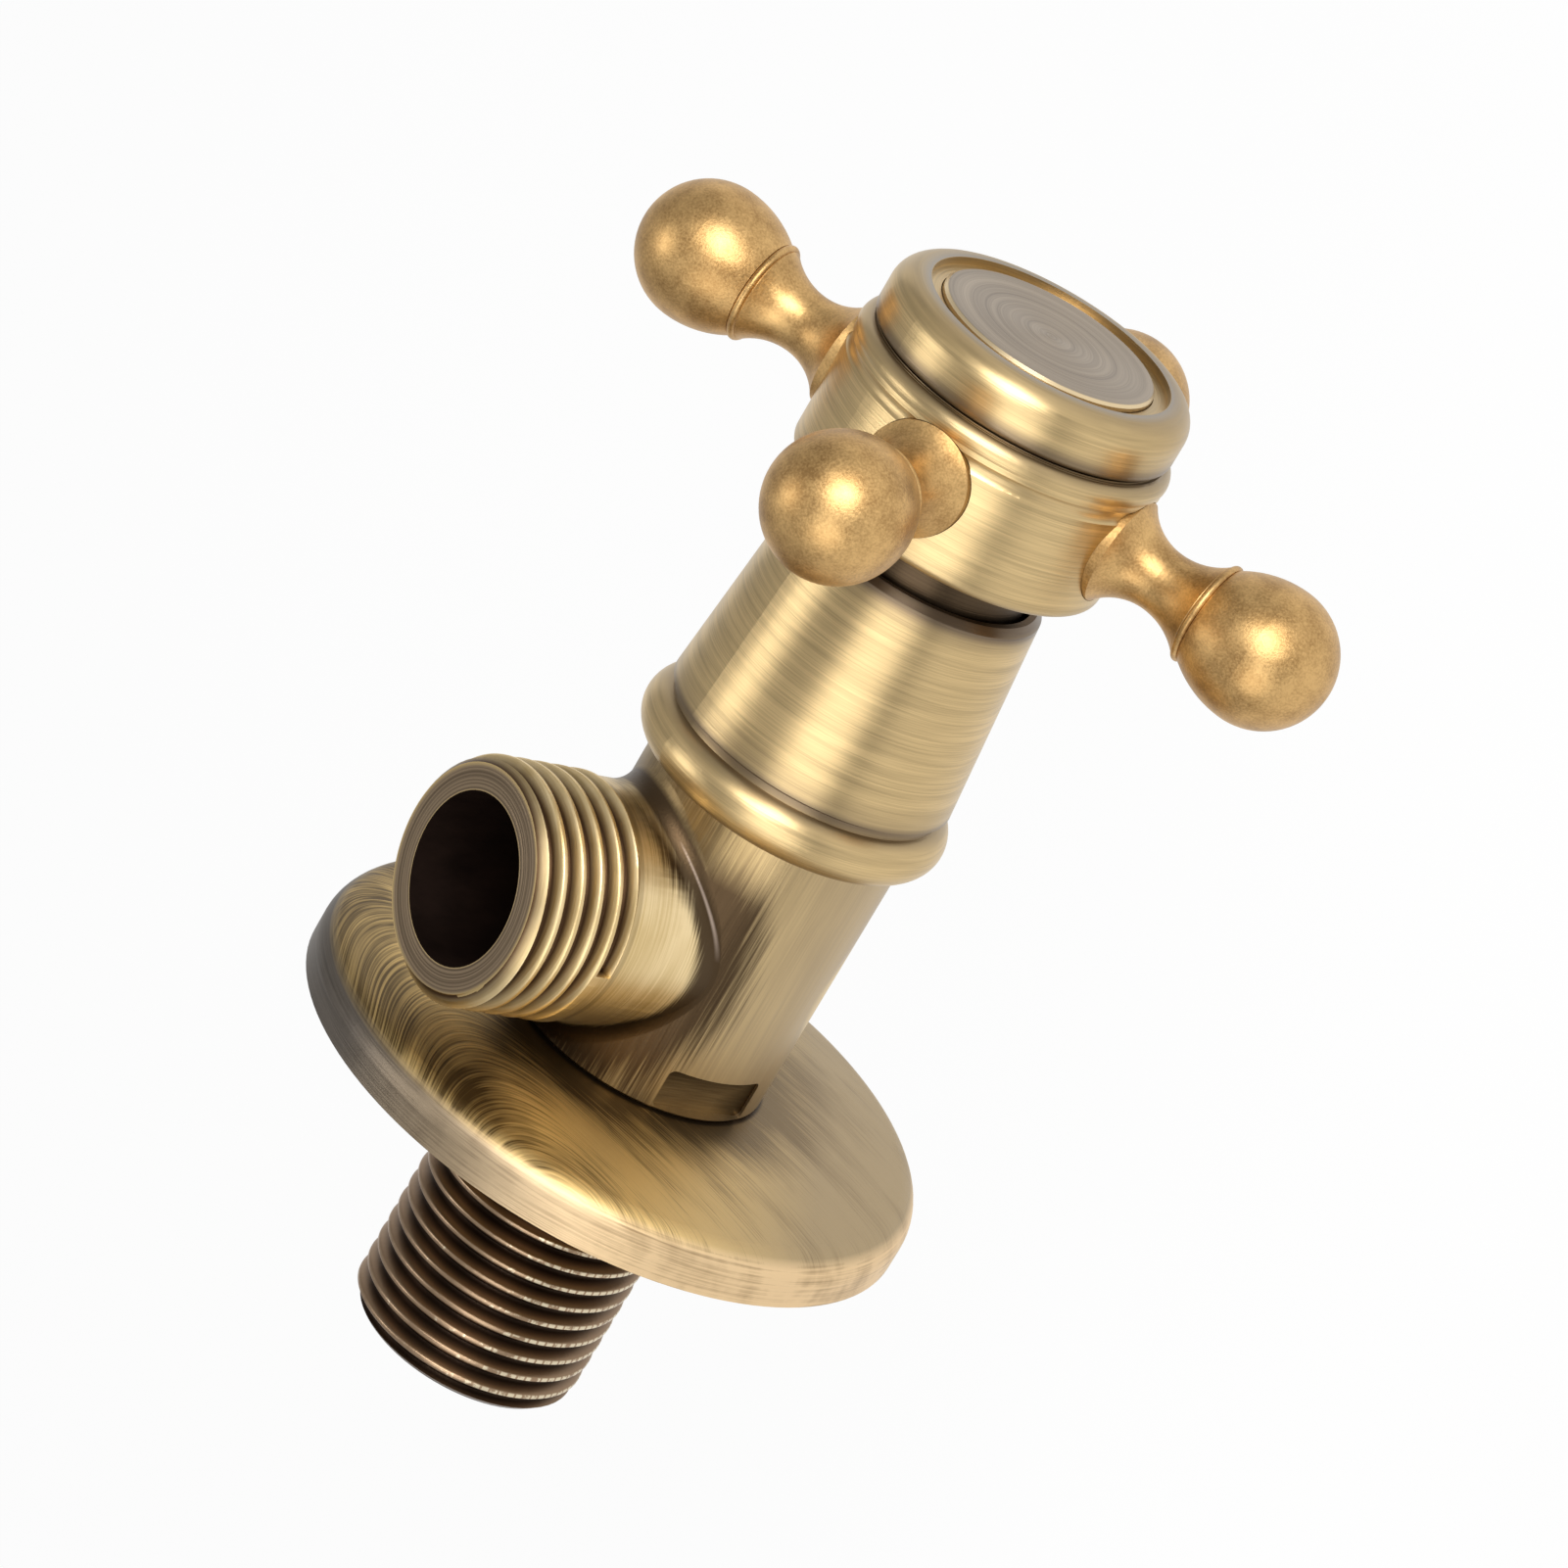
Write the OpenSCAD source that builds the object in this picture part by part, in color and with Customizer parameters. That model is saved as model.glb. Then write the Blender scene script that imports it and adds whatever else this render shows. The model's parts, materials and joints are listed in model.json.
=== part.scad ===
// Angle valve with a cross handle, for a half-inch wall supply.
// Every piece is drawn upright on the valve axis: the inlet tail points down, the handle up
// and the outlet along +X. The whole valve is then laid down as it is installed, with the
// wall face at Y = 0, the tail along +Y, the handle facing -Y and the outlet along +Z.

/* [Inlet tail] */
// Outside diameter over the thread crests of the inlet tail
tail_d = 20.8; // [20.2:0.05:21.2]
// Length of the tail behind the wall face
tail_len = 26.5; // [22:0.5:40]
// Bore of the inlet waterway
inlet_bore_d = 14; // [12:0.1:15]
// Chamfer at the free end of both threads
end_chamfer = 0.9; // [0.3:0.1:1.2]
// Width of the groove where the inlet thread runs out
runout_w = 1.0; // [0.6:0.1:2]
// Depth of that run-out groove
runout_depth = 0.9; // [0.4:0.1:1.4]

/* [Escutcheon] */
// Diameter of the wall flange
esc_d = 55.4; // [50:0.2:64]
// Height of the flange from the wall to the shoulder of the body
esc_h = 6.0; // [5.4:0.1:7.5]
// Thickness of the flange's spun sheet
esc_wall = 1.2; // [0.8:0.1:1.5]
// Radius of the rounded corner between the rim and the dome
esc_corner_r = 2.6; // [2:0.1:3]
// Diameter of the flat land in the middle of the dome
esc_land_d = 26; // [25:0.5:30]
// Radius of the shallow dome
esc_dome_r = 60; // [50:1:90]
// Height of the rubber grip ring inside the flange
grip_h = 1.8; // [1.2:0.1:2.2]
// Radial thickness of the rubber grip ring
grip_t = 1.55; // [1.2:0.05:1.9]
// Wall of the collar that holds the grip ring
grip_collar_t = 1.1; // [0.8:0.1:1.5]
// Radial clearance between the flange's hole and the tail
esc_hole_gap = 0.5; // [0.3:0.1:0.8]

/* [Body] */
// Diameter of the body barrel
body_d = 23; // [22.6:0.1:25]
// Length of the barrel from the flange to the bonnet shroud
body_len = 25.2; // [24.8:0.1:30]
// Outside diameter of the threaded neck under the shroud
neck_d = 20.8; // [20.2:0.1:21.4]
// Length of that neck
neck_len = 9.8; // [8:0.1:13]
// Bore that takes the cartridge
chamber_d = 18; // [17.8:0.1:18.6]
// Height of the seat above the shoulder of the body
seat_h = 5.0; // [4.4:0.1:5.2]
// Bore of the port through the seat
port_d = 11; // [9.6:0.1:11.2]
// Thickness of the web that carries the seat
seat_web = 1.8; // [1.2:0.1:2.4]
// Chamfer at the top of the threaded neck
neck_chamfer = 0.5; // [0.3:0.1:0.8]

/* [Wrench flats] */
// Depth of each flat below the barrel
flat_depth = 1.3; // [0.8:0.1:1.6]
// Length of each flat across the barrel
flat_len = 9.4; // [7:0.1:9.6]
// Height of each flat along the barrel
flat_h = 3.8; // [2.4:0.1:4]
// Lip left below each flat
flat_lip = 0.3; // [0.3:0.1:1.4]
// Corner radius of each flat
flat_corner_r = 0.6; // [0.3:0.1:1]

/* [Outlet] */
// Height of the outlet axis above the shoulder of the body
outlet_h = 12.3; // [12.1:0.1:13]
// Distance from the valve axis to the outlet face
outlet_reach = 25.3; // [24:0.1:32]
// Outside diameter over the thread crests of the outlet
outlet_d = 20.8; // [20.2:0.05:21.2]
// Length of the outlet thread
outlet_thread_len = 9.6; // [7:0.1:10.4]
// Diameter of the plain branch behind the thread
branch_d = 20.2; // [19.6:0.1:20.6]
// Bore of the outlet waterway
outlet_bore_d = 14.4; // [12:0.1:15]
// Depth of that bore from the outlet face
outlet_bore_depth = 15.3; // [12:0.1:15.6]
// Diameter of the port between that bore and the cartridge chamber
outlet_port_d = 12.4; // [10:0.1:12.8]
// Radius of the fillet in the crotch between branch and barrel
crotch_r = 2.0; // [1:0.1:2.1]

/* [Bonnet shroud] */
// Length of the shroud from the barrel to its top rim
shroud_len = 24.8; // [24:0.1:30]
// Diameter of the cone at its foot
cone_foot_d = 25.6; // [25:0.1:27]
// Diameter of the cone at its top
cone_top_d = 22.1; // [21.8:0.1:24]
// Greatest diameter of the bead at the foot
bead_d = 27.7; // [26.6:0.1:30]
// Radius of the bead's round section
bead_r = 2.4; // [2:0.1:2.6]
// Plain edge between the end of the barrel and the bead
bead_seat = 0.2; // [0.1:0.1:0.4]
// Width of the groove between bead and cone
bead_groove_w = 0.5; // [0.3:0.1:0.8]
// Depth of that groove
bead_groove_depth = 0.5; // [0.3:0.1:0.9]
// Bevel on the top rim
rim_bevel = 0.6; // [0.3:0.1:0.7]
// Wall thickness of the shroud at its top rim
rim_wall = 1.15; // [1:0.05:1.3]

/* [Cartridge] */
// Outside diameter of the cup that holds the discs
cup_d = 17.2; // [16.8:0.1:17.4]
// Inside diameter of that cup
cup_bore_d = 15; // [14.6:0.1:15.2]
// Height that the seat seal stands out below the cup
seal_proud = 0.8; // [0.4:0.1:1.2]
// Thickness of the seat seal
seal_t = 2.2; // [1.8:0.1:3]
// Inside diameter of the seat seal
seal_bore_d = 11.2; // [10:0.1:11.6]
// Height of the two water windows in the cup
window_h = 2.6; // [1.6:0.1:2.8]
// Width of the two water windows
window_w = 8; // [5:0.1:9]
// Thickness of the cup's roof
cup_roof_t = 2.0; // [1.4:0.1:2.2]
// Thickness of the gasket under the flange
gasket_t = 1.0; // [0.6:0.1:1.4]
// Thickness of the cartridge flange
flange_t = 1.4; // [1:0.1:2]
// Size across the flats of the cartridge hexagon
hex_af = 17; // [15:0.1:17.6]
// Height of that hexagon
hex_h = 4.4; // [3.4:0.1:4.8]
// Diameter of the guide sleeve above the hexagon
sleeve_d = 13.2; // [12.6:0.1:14]
// Height of that guide sleeve
sleeve_h = 5.2; // [4.4:0.1:5.6]

/* [Ceramic discs] */
// Diameter of both discs
disc_d = 14.7; // [14:0.1:14.8]
// Thickness of each disc
disc_t = 2.8; // [2.2:0.1:3.2]
// Inner radius of the ports in the discs
port_in_r = 1.6; // [1.2:0.1:2.2]
// Outer radius of the ports in the discs
port_out_r = 5.2; // [4.4:0.1:5.2]
// Angle that each port spans
port_angle = 70; // [50:1:76]

/* [Spindle] */
// Diameter of the spindle where it runs in the cartridge
shaft_d = 9.8; // [9.2:0.1:10.2]
// Thickness of the spindle's driving head
head_t = 2.0; // [1.6:0.1:2.4]
// Height of the two driving legs between head and disc
leg_h = 2.8; // [2.4:0.1:3.4]
// Depth that the legs reach into the moving disc
leg_bite = 1.9; // [1.2:0.1:2]
// Width of each driving leg
leg_w = 4; // [3:0.1:4.6]
// Angle that the spindle turns from closed to open
turn_angle = 90; // [60:1:90]
// Thickness of the thrust washer above the head
thrust_t = 0.8; // [0.6:0.1:1.2]
// Height of the lower O-ring above the cup
oring_lift = 4; // [3:0.1:6]
// Depth of the upper O-ring below the cartridge flange
oring_drop = 2; // [1.4:0.1:4]
// Radial gap between an O-ring and its walls
oring_gap = 0.03; // [0.02:0.01:0.05]
// Section diameter of the spindle O-rings
oring_section_d = 1.44; // [1.2:0.02:1.6]
// Thickness of the retaining clip
clip_t = 0.8; // [0.6:0.1:1]
// Depth of the groove for the retaining clip
clip_groove_depth = 0.9; // [0.6:0.1:1.1]
// Gap between the spindle's end and the hub web
spindle_end_gap = 0.4; // [0.2:0.1:0.8]
// Radial depth of the stop rib in the cup
stop_depth = 1.2; // [0.8:0.1:1.6]
// Outside diameter of the splined end
spline_d = 8; // [7.4:0.1:8.4]
// Number of teeth on the splined end
spline_teeth = 20; // [12:1:24]
// Height of the spline teeth
spline_tooth_h = 0.4; // [0.25:0.05:0.5]

/* [Handle hub] */
// Diameter of the hub
hub_d = 28; // [27.4:0.1:32]
// Height of the hub
hub_h = 12.8; // [12.4:0.1:16]
// Radius of the hub's rounded lower edge
hub_foot_r = 0.8; // [0.4:0.1:1.4]
// Gap between the shroud rim and the hub
hub_gap = 3.4; // [2.8:0.1:3.8]
// Radial gap between the shroud's rim and the skirt that dips into it
skirt_gap = 0.5; // [0.3:0.1:1]
// Length of that skirt
skirt_len = 9.4; // [8.2:0.1:9.6]
// Radial gap between that skirt and the guide sleeve inside it
skirt_bore_gap = 0.8; // [0.4:0.1:1.2]
// Radius of the bead round the top of the hub
hub_bead_r = 1.15; // [0.9:0.05:1.3]
// How far that bead stands out from the hub
hub_bead_proud = 0.1; // [0:0.05:0.4]
// Radius of the cove below that bead
cove_r = 0.9; // [0.6:0.1:1.2]
// Depth of that cove
cove_depth = 0.25; // [0.1:0.05:0.4]
// Angle of the first arm from the outlet direction
handle_angle = 31.6; // [0:0.2:89]

/* [Handle fastening] */
// Size across the flats of the hexagonal spline insert
insert_af = 12; // [10.6:0.1:12.4]
// Height of the insert above the rim of the shroud
insert_rise = 1.2; // [0.8:0.1:1.6]
// Thickness of the hub web above the insert
web_t = 1.4; // [1.2:0.1:2]
// Diameter of the handle screw's shank
screw_d = 4; // [3:0.1:4.4]
// Diameter of the handle screw's head
screw_head_d = 7.6; // [6.4:0.1:8.4]
// Height of the handle screw's head
screw_head_h = 2.4; // [1.8:0.1:2.8]
// Length of the screw below its head
screw_len = 10; // [7:0.5:11]
// Thickness of the screw's spring washer
washer_t = 0.8; // [0.6:0.1:1.2]

/* [Handle arms] */
// Height of the arms above the lower face of the hub
arm_h = 6.4; // [6:0.1:7.4]
// Distance from the valve axis to the centre of each ball
ball_at = 28.2; // [27:0.1:34]
// Diameter of each ball
ball_d = 12.1; // [11:0.1:14]
// Radius of the long curve on the inner side of each ball
ball_inner_r = 9.3; // [8.4:0.1:12]
// Distance from the ball's centre to its collar
collar_back = 5.3; // [4.8:0.1:5.6]
// Diameter of the collar ridge beside the ball
collar_d = 9.1; // [8.8:0.1:10]
// Radius of the collar ridge's round edge
collar_edge_r = 0.35; // [0.2:0.05:0.45]
// Distance from the valve axis to the waist of each arm
waist_at = 18.1; // [17.6:0.1:18.6]
// Diameter of the waist
waist_d = 5.3; // [4.6:0.1:6.4]
// Radius of the curve from the waist to the hub
root_curve_r = 5.14; // [4.9:0.02:5.6]
// Radius of the curve from the waist to the collar
tip_curve_r = 6.0; // [5.6:0.1:6.8]
// Diameter of the arm's round root where it enters the hub
root_d = 9.4; // [9:0.1:9.8]
// Depth of the root's seat in the hub
root_seat = 1.7; // [1.2:0.1:2]
// Diameter of the stud at the end of each arm
stud_d = 5; // [4:0.1:5.6]
// Length of that stud
stud_len = 3.6; // [2.4:0.1:4]

/* [Cap and index disc] */
// Diameter of the cap ring
cap_d = 26.9; // [26:0.1:27.6]
// Height of the cap ring above the hub
cap_h = 4.9; // [4.6:0.1:6]
// Gap between the hub and the cap ring
cap_gap = 0.1; // [0.1:0.05:0.4]
// Radius of the cap's rounded top edge
cap_roll_r = 2.2; // [2:0.1:2.8]
// Radius of the cap's rounded lower edge
cap_foot_r = 0.7; // [0.3:0.1:1]
// Diameter of the recess in the cap
recess_d = 21.6; // [20.8:0.1:22]
// Depth of that recess
recess_depth = 0.7; // [0.6:0.1:1.2]
// Diameter of the index disc
index_d = 19; // [17.6:0.1:19.4]
// Thickness of the index disc
index_t = 1.3; // [1:0.1:1.6]
// Height that the index disc stands above the recess floor
index_proud = 0.6; // [0.3:0.1:0.7]
// Diameter of the spigot under the index disc
spigot_d = 17; // [14:0.1:17.4]
// Length of the cap's threaded skirt
cap_skirt_len = 3.0; // [2:0.1:3.2]
// Outside diameter of that skirt
cap_skirt_d = 20.9; // [20.2:0.1:21.2]
// Length of the spigot under the index disc
spigot_len = 1.8; // [1.2:0.1:2.2]
// Bevel on the upper edge of the index disc
index_bevel = 0.25; // [0.15:0.05:0.4]

/* [Fits] */
// Radial clearance of the screwed and pressed joints
thread_gap = 0.05; // [0.03:0.01:0.08]
// Radial clearance of the running joints
run_gap = 0.05; // [0.03:0.01:0.08]
// Seam between flat faces that turn or slide on each other
seam = 0.05; // [0.03:0.01:0.1]
// Clearance where two pieces do not bear on each other
easy_gap = 0.2; // [0.1:0.05:0.3]
// Clearance round pieces that move past each other
free_gap = 0.3; // [0.2:0.05:0.4]

/* [Hidden] */
$fn = 96;
// Smoothness of the flange's large dome
dome_fn = 360;
// How far a cutting shape runs past what it cuts
cut = 1;
// How far shapes of one solid sink into each other
sink = 0.5;
// The same for small shapes
small_sink = 0.1;

// Heights along the valve axis, from the wall face upwards
shoulder_z = esc_h;
seat_z = shoulder_z + seat_h;
outlet_z = shoulder_z + outlet_h;
neck_z = shoulder_z + body_len;
body_top_z = neck_z + neck_len;
shroud_top_z = neck_z + shroud_len;
bead_z = neck_z + bead_r + bead_seat;
cone_z = bead_z + bead_r + bead_groove_w;
flange_z = body_top_z + gasket_t;
hex_z = flange_z + flange_t;
sleeve_z = hex_z + hex_h;
sleeve_top_z = sleeve_z + sleeve_h;

// Fillet in the crotch: its rows across the branch and the steps of its arc
crotch_rows = 24;
crotch_steps = 5;
// How far the ends of the fillet's arc, and its back, sink into the walls
crotch_sink = 0.08;
crotch_root = 1;
// Half width of the fillet, and its radius there
crotch_far = 0.95 * branch_d / 2;
crotch_end_r = 0.04;

// Small steps and play
edge_chamfer = 0.3;
// How far the cartridge flange stays inside the neck
flange_inset = 0.1;
// Reach of the spline teeth below the insert, and the gap from the insert to the spindle's cone
spline_below = 1.2;
cone_below = 0.6;
// Angle of the stop rib, and the play at each end of the turn
stop_rib_angle = 20;
stop_play = 3;

// Stack inside the cartridge cup, from the seat upwards
cup_z = seat_z + seal_proud;
fixed_z = seat_z + seal_t;
moving_z = fixed_z + disc_t;
leg_z = moving_z + disc_t;
head_z = leg_z + leg_h;
thrust_z = head_z + head_t + seam;
cup_roof_z = thrust_z + thrust_t + seam;
cup_top_z = cup_roof_z + cup_roof_t;

// Heights of the handle
hub_z = shroud_top_z + hub_gap;
hub_top_z = hub_z + hub_h;
arm_z = hub_z + arm_h;
skirt_z = hub_z - skirt_len;
cap_z = hub_top_z + cap_gap;
cap_top_z = cap_z + cap_h;
recess_z = cap_top_z - recess_depth;
index_z = recess_z + index_proud - index_t;
web_z = hub_top_z - cap_skirt_len - screw_head_h - washer_t;
insert_z = shroud_top_z + insert_rise;
spindle_top_z = web_z - web_t - spindle_end_gap;

// Radii that follow from the diameters
tail_r = tail_d / 2;
body_r = body_d / 2;
neck_r = neck_d / 2;
chamber_r = chamber_d / 2;
outlet_r = outlet_d / 2;
branch_r = branch_d / 2;
esc_r = esc_d / 2;
cup_r = cup_d / 2;
cup_bore_r = cup_bore_d / 2;
disc_r = disc_d / 2;
shaft_r = shaft_d / 2;
shaft_bore_r = shaft_r + run_gap;
clip_groove_r = shaft_r - clip_groove_depth;
oring_r = oring_section_d / 2;
oring_mid_r = shaft_bore_r - oring_gap - oring_r;
spline_r = spline_d / 2;
hub_r = hub_d / 2;
shroud_bore_r = cone_top_d / 2 - rim_wall;
skirt_r = shroud_bore_r - skirt_gap;
skirt_bore_r = sleeve_d / 2 + skirt_bore_gap;
cap_r = cap_d / 2;
cap_skirt_r = cap_skirt_d / 2;
recess_r = recess_d / 2;
index_r = index_d / 2;
spigot_r = spigot_d / 2;
ball_r = ball_d / 2;
waist_r = waist_d / 2;
root_r = root_d / 2;
collar_at = ball_at - collar_back;
flange_r = neck_r - flange_inset;
hex_r = hex_af / 2 / cos(30);
insert_r = insert_af / 2 / cos(30);
stop_r = cup_bore_r - stop_depth;
head_r = cup_bore_r - free_gap;
oring_heights = [cup_top_z + oring_lift, flange_z - oring_drop];

// Lays the upright valve down into its installed pose
module installed() {
    rotate([90, 0, 0])
        rotate([0, 0, 90])
            children();
}

// Rectangle given by its two radii and its two heights
module band(r0, r1, z0, z1) {
    translate([r0, z0])
        square([r1 - r0, z1 - z0]);
}

// Flat ring of a given bore and height
module ring(r_in, r_out, z, h) {
    translate([0, 0, z])
        difference() {
            cylinder(r = r_out, h = h);
            translate([0, 0, -cut])
                cylinder(r = r_in, h = h + 2 * cut);
        }
}

// Wedge with its point on the axis, centred on an angle
module wedge(angle, span, r) {
    polygon([
        [0, 0],
        for (i = [-2 : 2]) 2 * r * [cos(angle + i * span / 4), sin(angle + i * span / 4)]
    ]);
}

// Sector of a ring, centred on an angle
module ring_sector(r_in, r_out, angle, span) {
    intersection() {
        difference() {
            circle(r = r_out);
            circle(r = r_in);
        }
        wedge(angle, span, r_out);
    }
}

// Turns a profile drawn as radius and height about the outlet axis
module along_outlet() {
    translate([0, 0, outlet_z])
        rotate([0, 90, 0])
            rotate_extrude()
                children();
}

// Turned part of the body: tail, barrel and neck
module body_turning() {
    runout_z = 0.3;
    groove_r = tail_r - runout_depth;
    rotate_extrude()
        polygon([
            [0, -tail_len],
            [tail_r - end_chamfer, -tail_len],
            [tail_r, end_chamfer - tail_len],
            [tail_r, runout_z],
            [groove_r, runout_z],
            [groove_r, runout_z + runout_w],
            [tail_r, runout_z + runout_w],
            [tail_r, shoulder_z],
            [body_r - edge_chamfer, shoulder_z],
            [body_r, shoulder_z + edge_chamfer],
            [body_r, neck_z],
            [neck_r, neck_z],
            [neck_r, body_top_z - neck_chamfer],
            [neck_r - neck_chamfer, body_top_z],
            [0, body_top_z]
        ]);
}

// Outlet branch with its threaded end
module branch() {
    thread_x = outlet_reach - outlet_thread_len;
    cone_len = 0.5;
    shoulder_x = thread_x - cone_len;
    along_outlet()
        polygon([
            [0, 0],
            [branch_r, 0],
            [branch_r, shoulder_x],
            [outlet_r, thread_x],
            [outlet_r, outlet_reach - end_chamfer],
            [outlet_r - end_chamfer, outlet_reach],
            [0, outlet_reach]
        ]);
}

// Corner between branch and barrel, as reach and height, at a distance across the branch
function crotch_corner(y) = [
    sqrt(body_r * body_r - y * y),
    sqrt(branch_r * branch_r - y * y)
];

// Radius of the fillet there, which fades out inside the wall before the sides of the branch
function crotch_fade(y) = crotch_end_r + crotch_r * sqrt(max(0, 1 - pow(y / crotch_far, 2)));

// Distance of one row across the branch, closer together towards the sides
function crotch_row_y(i) = crotch_far * sin(180 * i / crotch_rows - 90);

// Section of the fillet: a concave arc whose ends sink a little into both walls
function crotch_section(y) =
    let (
        r = crotch_fade(y),
        c = crotch_corner(y) - [crotch_sink, crotch_sink]
    ) [
        [c[0] - crotch_root, c[1] - crotch_root],
        [c[0] - crotch_root, c[1] + r],
        for (i = [0 : crotch_steps])
            c + [r, r] - r * [cos(90 * i / crotch_steps), sin(90 * i / crotch_steps)],
        [c[0] + r, c[1] - crotch_root]
    ];

// Concave fillet on one side of the branch, lofted across it
module crotch_fillet() {
    rows = [for (i = [0 : crotch_rows]) crotch_section(crotch_row_y(i))];
    n = len(rows[0]);
    points = [
        for (i = [0 : crotch_rows])
            for (p = rows[i])
                [p[0], crotch_row_y(i), p[1]]
    ];
    sides = [
        for (i = [0 : crotch_rows - 1])
            for (k = [0 : n - 1])
                [i * n + k, i * n + (k + 1) % n, (i + 1) * n + (k + 1) % n, (i + 1) * n + k]
    ];
    first = [for (k = [n - 1 : -1 : 0]) k];
    last = [for (k = [0 : n - 1]) crotch_rows * n + k];
    translate([0, 0, outlet_z])
        polyhedron(points = points, faces = concat(sides, [first, last]), convexity = 4);
}

// Inlet bore, seat port, cartridge chamber and outlet bore
module waterways() {
    inlet_top = seat_z - seat_web;
    bore_x = outlet_reach - outlet_bore_depth;
    translate([0, 0, -tail_len - cut])
        cylinder(d = inlet_bore_d, h = tail_len + inlet_top + cut);
    translate([0, 0, inlet_top - cut])
        cylinder(d = port_d, h = seat_web + 2 * cut);
    translate([0, 0, seat_z])
        cylinder(r = chamber_r, h = body_top_z - seat_z + cut);
    translate([bore_x, 0, outlet_z])
        rotate([0, 90, 0])
            cylinder(d = outlet_bore_d, h = outlet_reach);
    translate([0, 0, outlet_z])
        rotate([0, 90, 0])
            cylinder(d = outlet_port_d, h = bore_x + cut);
}

// Pocket outline of one wrench flat
module flat_outline() {
    r = flat_corner_r;
    translate([-flat_len / 2, r])
        square([flat_len, flat_h - 2 * r]);
    translate([r - flat_len / 2, 0])
        square([flat_len - 2 * r, flat_h]);
    for (x = [-1, 1])
        for (y = [r, flat_h - r])
            translate([x * (flat_len / 2 - r), y])
                circle(r = r, $fn = 32);
}

// Two flats on the barrel for a wrench
module wrench_flats() {
    cutter_t = 3;
    for (turn = [0, 180])
        rotate([0, 0, turn])
            translate([0, body_r - flat_depth + cutter_t, shoulder_z + flat_lip])
                rotate([90, 0, 0])
                    linear_extrude(cutter_t)
                        flat_outline();
}

module valve_body() {
    color("darkgoldenrod")
        difference() {
            union() {
                body_turning();
                branch();
                crotch_fillet();
                translate([0, 0, 2 * outlet_z])
                    mirror([0, 0, 1])
                        crotch_fillet();
            }
            waterways();
            wrench_flats();
        }
}

// Filled outline of the flange, drawn smaller by an inset for its hollow
module flange_fill(inset) {
    land_r = esc_land_d / 2;
    corner_at = esc_r - esc_corner_r;
    dome_z = esc_h - seam - esc_dome_r;
    reach = esc_dome_r - esc_corner_r;
    corner_z = dome_z + sqrt(reach * reach - pow(corner_at - land_r, 2));
    tangent_r = land_r + (corner_at - land_r) * esc_dome_r / reach;
    band(0, land_r, -inset, esc_h - seam - inset);
    band(0, esc_r - inset, -inset, corner_z);
    intersection() {
        translate([land_r, dome_z])
            circle(r = esc_dome_r - inset, $fn = dome_fn);
        band(land_r, tangent_r, 0, esc_h);
    }
    intersection() {
        translate([corner_at, corner_z])
            circle(r = esc_corner_r - inset);
        band(0, esc_r, corner_z - small_sink, esc_h);
    }
}

module escutcheon() {
    grip_r = tail_r + run_gap + grip_t;
    plate_z = esc_h - seam - esc_wall;
    color("darkgoldenrod")
        rotate_extrude()
            difference() {
                union() {
                    difference() {
                        flange_fill(0);
                        flange_fill(esc_wall);
                    }
                    band(grip_r + run_gap, grip_r + run_gap + grip_collar_t,
                         plate_z - grip_h, plate_z);
                }
                band(0, tail_r + esc_hole_gap, -cut, esc_h + cut);
            }
}

module escutcheon_grip_ring() {
    plate_z = esc_h - seam - esc_wall;
    ring_h = grip_h - easy_gap;
    color("dimgray")
        ring(tail_r + run_gap, tail_r + run_gap + grip_t,
             plate_z - seam - ring_h, ring_h);
}

// Wall profile of the shroud before it is bored
module shroud_outline() {
    foot_r = bead_d / 2 - bead_r;
    rim_z = shroud_top_z - rim_bevel;
    groove_r = cone_foot_d / 2 - bead_groove_depth;
    band(0, foot_r, neck_z, bead_z);
    band(0, groove_r, bead_z, cone_z + bead_groove_w);
    translate([foot_r, bead_z])
        circle(r = bead_r);
    polygon([
        [0, cone_z],
        [groove_r, cone_z],
        [cone_foot_d / 2, cone_z + edge_chamfer],
        [cone_top_d / 2, rim_z],
        [cone_top_d / 2 - rim_bevel, shroud_top_z],
        [0, shroud_top_z]
    ]);
}

module bonnet_shroud() {
    color("goldenrod")
        rotate_extrude()
            difference() {
                shroud_outline();
                band(0, neck_r + thread_gap, neck_z - cut, body_top_z + easy_gap);
                band(0, neck_r + free_gap, body_top_z, sleeve_z + free_gap);
                band(0, shroud_bore_r, sleeve_z, shroud_top_z + cut);
            }
}

// Turned part of the cartridge housing
module housing_turning() {
    rotate_extrude()
        difference() {
            union() {
                band(0, cup_r, cup_z, cup_top_z);
                band(0, chamber_r - thread_gap, cup_top_z, flange_z);
                band(0, flange_r, flange_z, hex_z);
                band(0, sleeve_d / 2, hex_z, sleeve_top_z);
            }
            band(0, cup_bore_r, cup_z - cut, cup_roof_z);
            band(0, shaft_bore_r, cup_roof_z - cut, sleeve_top_z + cut);
        }
}

// Stop rib on the wall of the cup, which limits the turn of the spindle
module stop_rib() {
    rib_z = head_z + free_gap;
    translate([0, 0, rib_z])
        linear_extrude(cup_roof_z - rib_z + sink)
            ring_sector(stop_r, cup_bore_r + free_gap, 90, stop_rib_angle);
}

module cartridge_housing() {
    color("tan")
        union() {
            difference() {
                union() {
                    housing_turning();
                    translate([0, 0, hex_z])
                        difference() {
                            cylinder(r = hex_r, h = hex_h, $fn = 6);
                            translate([0, 0, -cut])
                                cylinder(r = sleeve_d / 2 - 2 * sink, h = hex_h + 2 * cut);
                        }
                }
                translate([-cup_d, -window_w / 2, leg_z + easy_gap])
                    cube([2 * cup_d, window_w, window_h]);
            }
            stop_rib();
        }
}

module housing_gasket() {
    color("dimgray")
        ring(chamber_r, flange_r, body_top_z, gasket_t);
}

module seat_seal() {
    color("dimgray")
        ring(seal_bore_d / 2, cup_bore_r - easy_gap / 2, seat_z, seal_t);
}

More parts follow.
